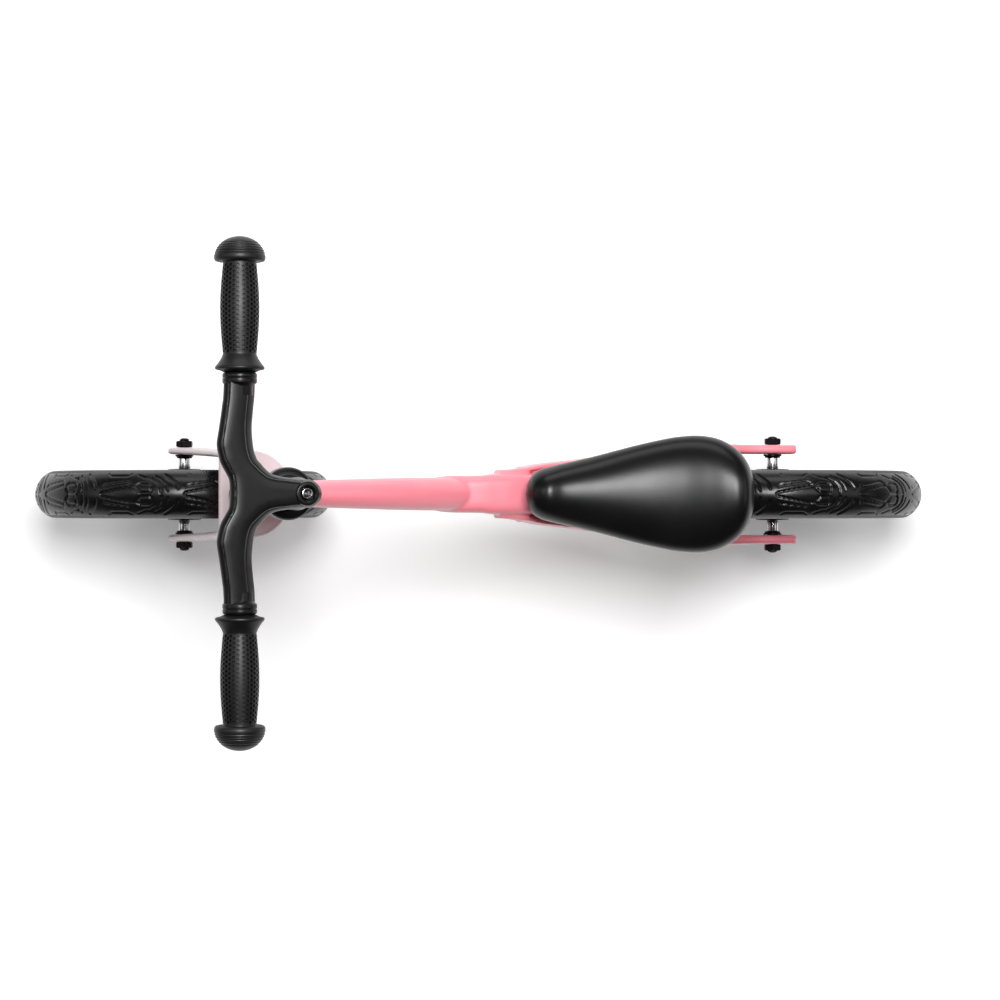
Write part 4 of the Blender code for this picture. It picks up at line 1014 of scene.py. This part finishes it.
# Back from the nose, and half the width there
SEAT_PLAN = [(0, 0), (0.0008, 0.0064), (0.0030, 0.0124), (0.0063, 0.0176), (0.0116, 0.0214), (0.0170, 0.0235),
             (0.0277, 0.0262), (0.0438, 0.0298), (0.0652, 0.0349), (0.0867, 0.0406), (0.1081, 0.0459),
             (0.1296, 0.0504), (0.1403, 0.0518), (0.1517, 0.0525), (0.1632, 0.0516), (0.1746, 0.0486),
             (0.1860, 0.0423), (0.1943, 0.0342), (0.2002, 0.0238), (0.2037, 0.0120), (0.2049, 0)]
# Back from the nose, and the height of the middle line: a raised nose, a long dip and a lifted tail
SEAT_CREST = [(0, 0.3330), (0.0030, 0.3405), (0.0090, 0.3478), (0.0200, 0.3520), (0.0330, 0.3500),
              (0.0500, 0.3492), (0.0850, 0.3488), (0.1150, 0.3495), (0.1400, 0.3517), (0.1613, 0.3550),
              (0.1784, 0.3578), (0.1901, 0.3584), (0.1975, 0.3545), (0.2023, 0.3450), (0.2049, 0.3340)]


def seat():
    under = 0.3180
    skirt = under + 0.009
    share = 0.5 - 0.5 * np.cos(np.pi * (np.arange(90) + 0.3) / 89.6)
    backs = SEAT_LONG * share
    plan = through(SEAT_PLAN, 800)
    crest = through(SEAT_CREST, 500)
    rings = []
    for back in backs:
        half = float(np.interp(back, plan[:, 0], plan[:, 1]))
        top = float(np.interp(back, crest[:, 0], crest[:, 1]))
        flat = 1.0 - 0.24 * np.clip((back - 0.07) / 0.09, 0, 1)
        ring = []
        for angle in np.linspace(0, math.pi, 49):
            width = half * math.copysign(abs(math.cos(angle)) ** 0.92, math.cos(angle))
            ring.append((NOSE_X - back, width, skirt + (top - skirt) * math.sin(angle) ** flat))
        for turn in np.linspace(math.pi, 2 * math.pi, 31)[1:-1]:
            cos, sin = math.cos(turn), math.sin(turn)
            ring.append((NOSE_X - back, half * math.copysign(abs(cos) ** 0.25, cos),
                         skirt - (skirt - under) * abs(sin) ** 0.5))
        rings.append(ring)
    pad = skin("moulded_seat", rings, SEAT_SKIN, 180)
    worn(pad, "seat", "seat_skin", "seat_pad")


def outline_prism(name, outline, low, high, finish, soft=1.2 * MM):
    """A plate of a flat outline, its upper and lower edges rounded."""
    outline = np.asarray(outline, float)
    centre = outline.mean(0)
    rings = []
    for height, inset in ((low, soft), (low + 0.3 * soft, 0.3 * soft), (low + soft, 0), (high - soft, 0),
                          (high - 0.3 * soft, 0.3 * soft), (high, soft)):
        away = outline - centre
        size = np.linalg.norm(away, axis=1)[:, None]
        shaped = centre + away * (1 - inset / size)
        rings.append(np.column_stack([shaped, np.full(len(shaped), height)]))
    return skin(name, rings, finish)


def seat_hardware():
    plan = through(SEAT_PLAN, 200)
    line = [(NOSE_X - back, half - 4 * MM) for back, half in plan if 0.022 < back < 0.176]
    line = line + [(x, -y) for x, y in reversed(line)]
    base = outline_prism("moulded_seat_base", line, 0.3103, 0.3177, COVER_PLASTIC)
    worn(base, "seat", "black_plastic", "seat_base")
    post = ring_of("drawn_seat_post", [
        (0.0108, 0.1515), (0.0127, 0.1515), (0.0127, 0.040), (0.0108, 0.040),
    ], 0.5 * MM, SEAT_LINE, BEARING_STEEL)
    worn(post, "seat", "bright_steel", "seat_post")
    plate = outline_prism("seat_post_plate", oval((-0.1436, 0), (1, 0), (0, 1), 0.034, 0.020, 5.0, 64),
                          0.3065, 0.3100, BLACK_ZINC, 0.5 * MM)
    worn(plate, "seat", "black_steel", "seat_post")
    for end, x in (("front", -0.1216), ("rear", -0.1656)):
        for hand, y in (("left", 0.013), ("right", -0.013)):
            place = placing((x, y, 0), (0, 0, 1))
            bolt = turned(f"seat_screw_{end}_{hand}", softened([
                (0, 0.3160), (0.0025, 0.3160), (0.0025, 0.3062), (0.0045, 0.3062), (0.0045, 0.3045),
                (0.0034, 0.3030), (0.0022, 0.3028), (0.0018, 0.3042), (0, 0.3042)], 0.2 * MM),
                place, BLACK_ZINC, 48)
            worn(bolt, "seat", "black_steel", f"seat_bolt_{end}_{hand}")


def seat_clamp():
    low, high = 0.125, 0.141
    band = ring_of("band", [
        (0.0162, high), (0.0190, high), (0.0192, high - 2 * MM), (0.0186, (low + high) / 2),
        (0.0192, low + 2 * MM), (0.0190, low), (0.0162, low)], 0.6 * MM, SEAT_LINE, BAR_COAT)
    ear = ((-0.030, low + 2 * MM), (-0.028, low), (-0.0168, low), (-0.0168, high), (-0.028, high),
           (-0.030, high - 2 * MM))
    half = 7 * MM
    ears = skin("ears", [[SEAT_LINE @ Vector((x, y, h)) for x, h in ear] for y in (-half, half)], BAR_COAT)
    cut(band, [ears], "UNION")
    gap = skin("gap", [[SEAT_LINE @ Vector((x, y, h)) for x, h in
                        ((-0.04, 0.10), (-0.010, 0.10), (-0.010, 0.16), (-0.04, 0.16))]
                       for y in (-1.2 * MM, 1.2 * MM)], BAR_COAT)
    middle = SEAT_LINE @ Vector((-0.025, 0, (low + high) / 2))
    cut(band, [gap, rod_at("hole", placing(middle, (0, 1, 0)), -0.02, 0.02, 2.8 * MM, BAR_COAT, 32)])
    worn(remade(band, "split_seat_clamp", BAR_COAT, 35), "frame", "black_plastic", "seat_clamp")
    bolt = turned("clamp_cap_screw", softened([
        (0, 0.0088), (0.0018, 0.0088), (0.0021, 0.0113), (0.0036, 0.0113), (0.0042, 0.0108), (0.0042, 0.0073),
        (0.0025, 0.0073), (0.0025, -0.0100), (0, -0.0100),
    ], 0.2 * MM), placing(middle, (0, 1, 0)), CHROMED, 48)
    worn(bolt, "frame", "black_steel", "seat_clamp_bolt")


# ---------------------------------------------------------------- hidden steel keeps its own shape

def finish_hidden():
    steel = ("steerer_tube", "quill_wedge", "headset_bearing_upper", "headset_bearing_lower",
             "headset_race_nut", "front_bearing_sleeve", "rear_bearing_sleeve")
    for finish, names in ((BEARING_STEEL, steel), (BLACK_ZINC, ("headset_locknut",))):
        for name in names:
            materials = frame["nodes"][name].data.materials
            materials.clear()
            materials.append(finish)


# ---------------------------------------------------------------- studio

def studio():
    """A white floor, one soft light overhead towards the rider's right, weak ones round it, and the camera."""
    scene = bpy.context.scene
    scene.view_settings.view_transform = "Standard"
    bpy.ops.mesh.primitive_plane_add(size=8)
    floor = bpy.context.object
    floor.name = "studio_floor"
    floor.location = (0, 0, CAD_BOX[0][2] - 0.2 * MM)
    material, tree, shader, place = begin("white_paper_sweep", Roughness=0.9, Emission_Strength=0.24)
    shade(tree, shader, noise(tree, place, 0.5), "F4F4F4", "F6F6F6")
    floor.data.materials.append(material)

    world = bpy.data.worlds.new("soft_surround")
    scene.world = world
    world.use_nodes = True
    world.node_tree.nodes["Background"].inputs["Color"].default_value = (1, 1, 1, 1)
    world.node_tree.nodes["Background"].inputs["Strength"].default_value = 0.04

    def softbox(name, place, target, size, power):
        data = bpy.data.lights.new(name, "AREA")
        data.shape = "RECTANGLE"
        data.size, data.size_y = size
        data.energy = power
        lamp = bpy.data.objects.new(name, data)
        lamp.location = place
        lamp.rotation_euler = (Vector(target) - Vector(place)).to_track_quat("-Z", "Y").to_euler()
        scene.collection.objects.link(lamp)

    for name, place, height, size, power in (
            ("overhead", (-0.15, -0.55, 2.9), 0.2, (0.9, 0.8), 76),
            ("front_high", (1.35, -0.5, 2.5), 0.2, (0.8, 0.8), 6),
            ("rear_high", (-1.35, -0.5, 2.5), 0.2, (0.8, 0.8), 5),
            ("front_side", (2.2, -0.3, 1.5), 0.3, (1.4, 1.2), 6),
            ("rear_side", (-2.2, -0.3, 1.5), 0.3, (1.4, 1.2), 6),
            ("right_side", (0, -2.4, 1.1), 0.3, (2.0, 1.0), 18)):
        softbox(name, place, (0, 0, height), size, power)

    lens = bpy.data.cameras.new("camera")
    lens.sensor_width = 36
    lens.lens = 95.1
    camera = bpy.data.objects.new("camera", lens)
    camera.location = (-0.0208, 0.0053, 2.692)
    camera.rotation_euler = (0, 0, math.pi)
    scene.collection.objects.link(camera)
    scene.camera = camera


studio()
bike_frame()
fork()
headset()
stem_bolt()
handlebar()
grip(1, "left")
grip(-1, "right")
for end_name, hub_at, holder in (("front", FRONT_HUB, "steering"), ("rear", REAR_HUB, "frame")):
    tyre(end_name, hub_at)
    wheel(end_name, hub_at)
    axle(end_name, hub_at, holder)
seat()
seat_hardware()
seat_clamp()
finish_hidden()
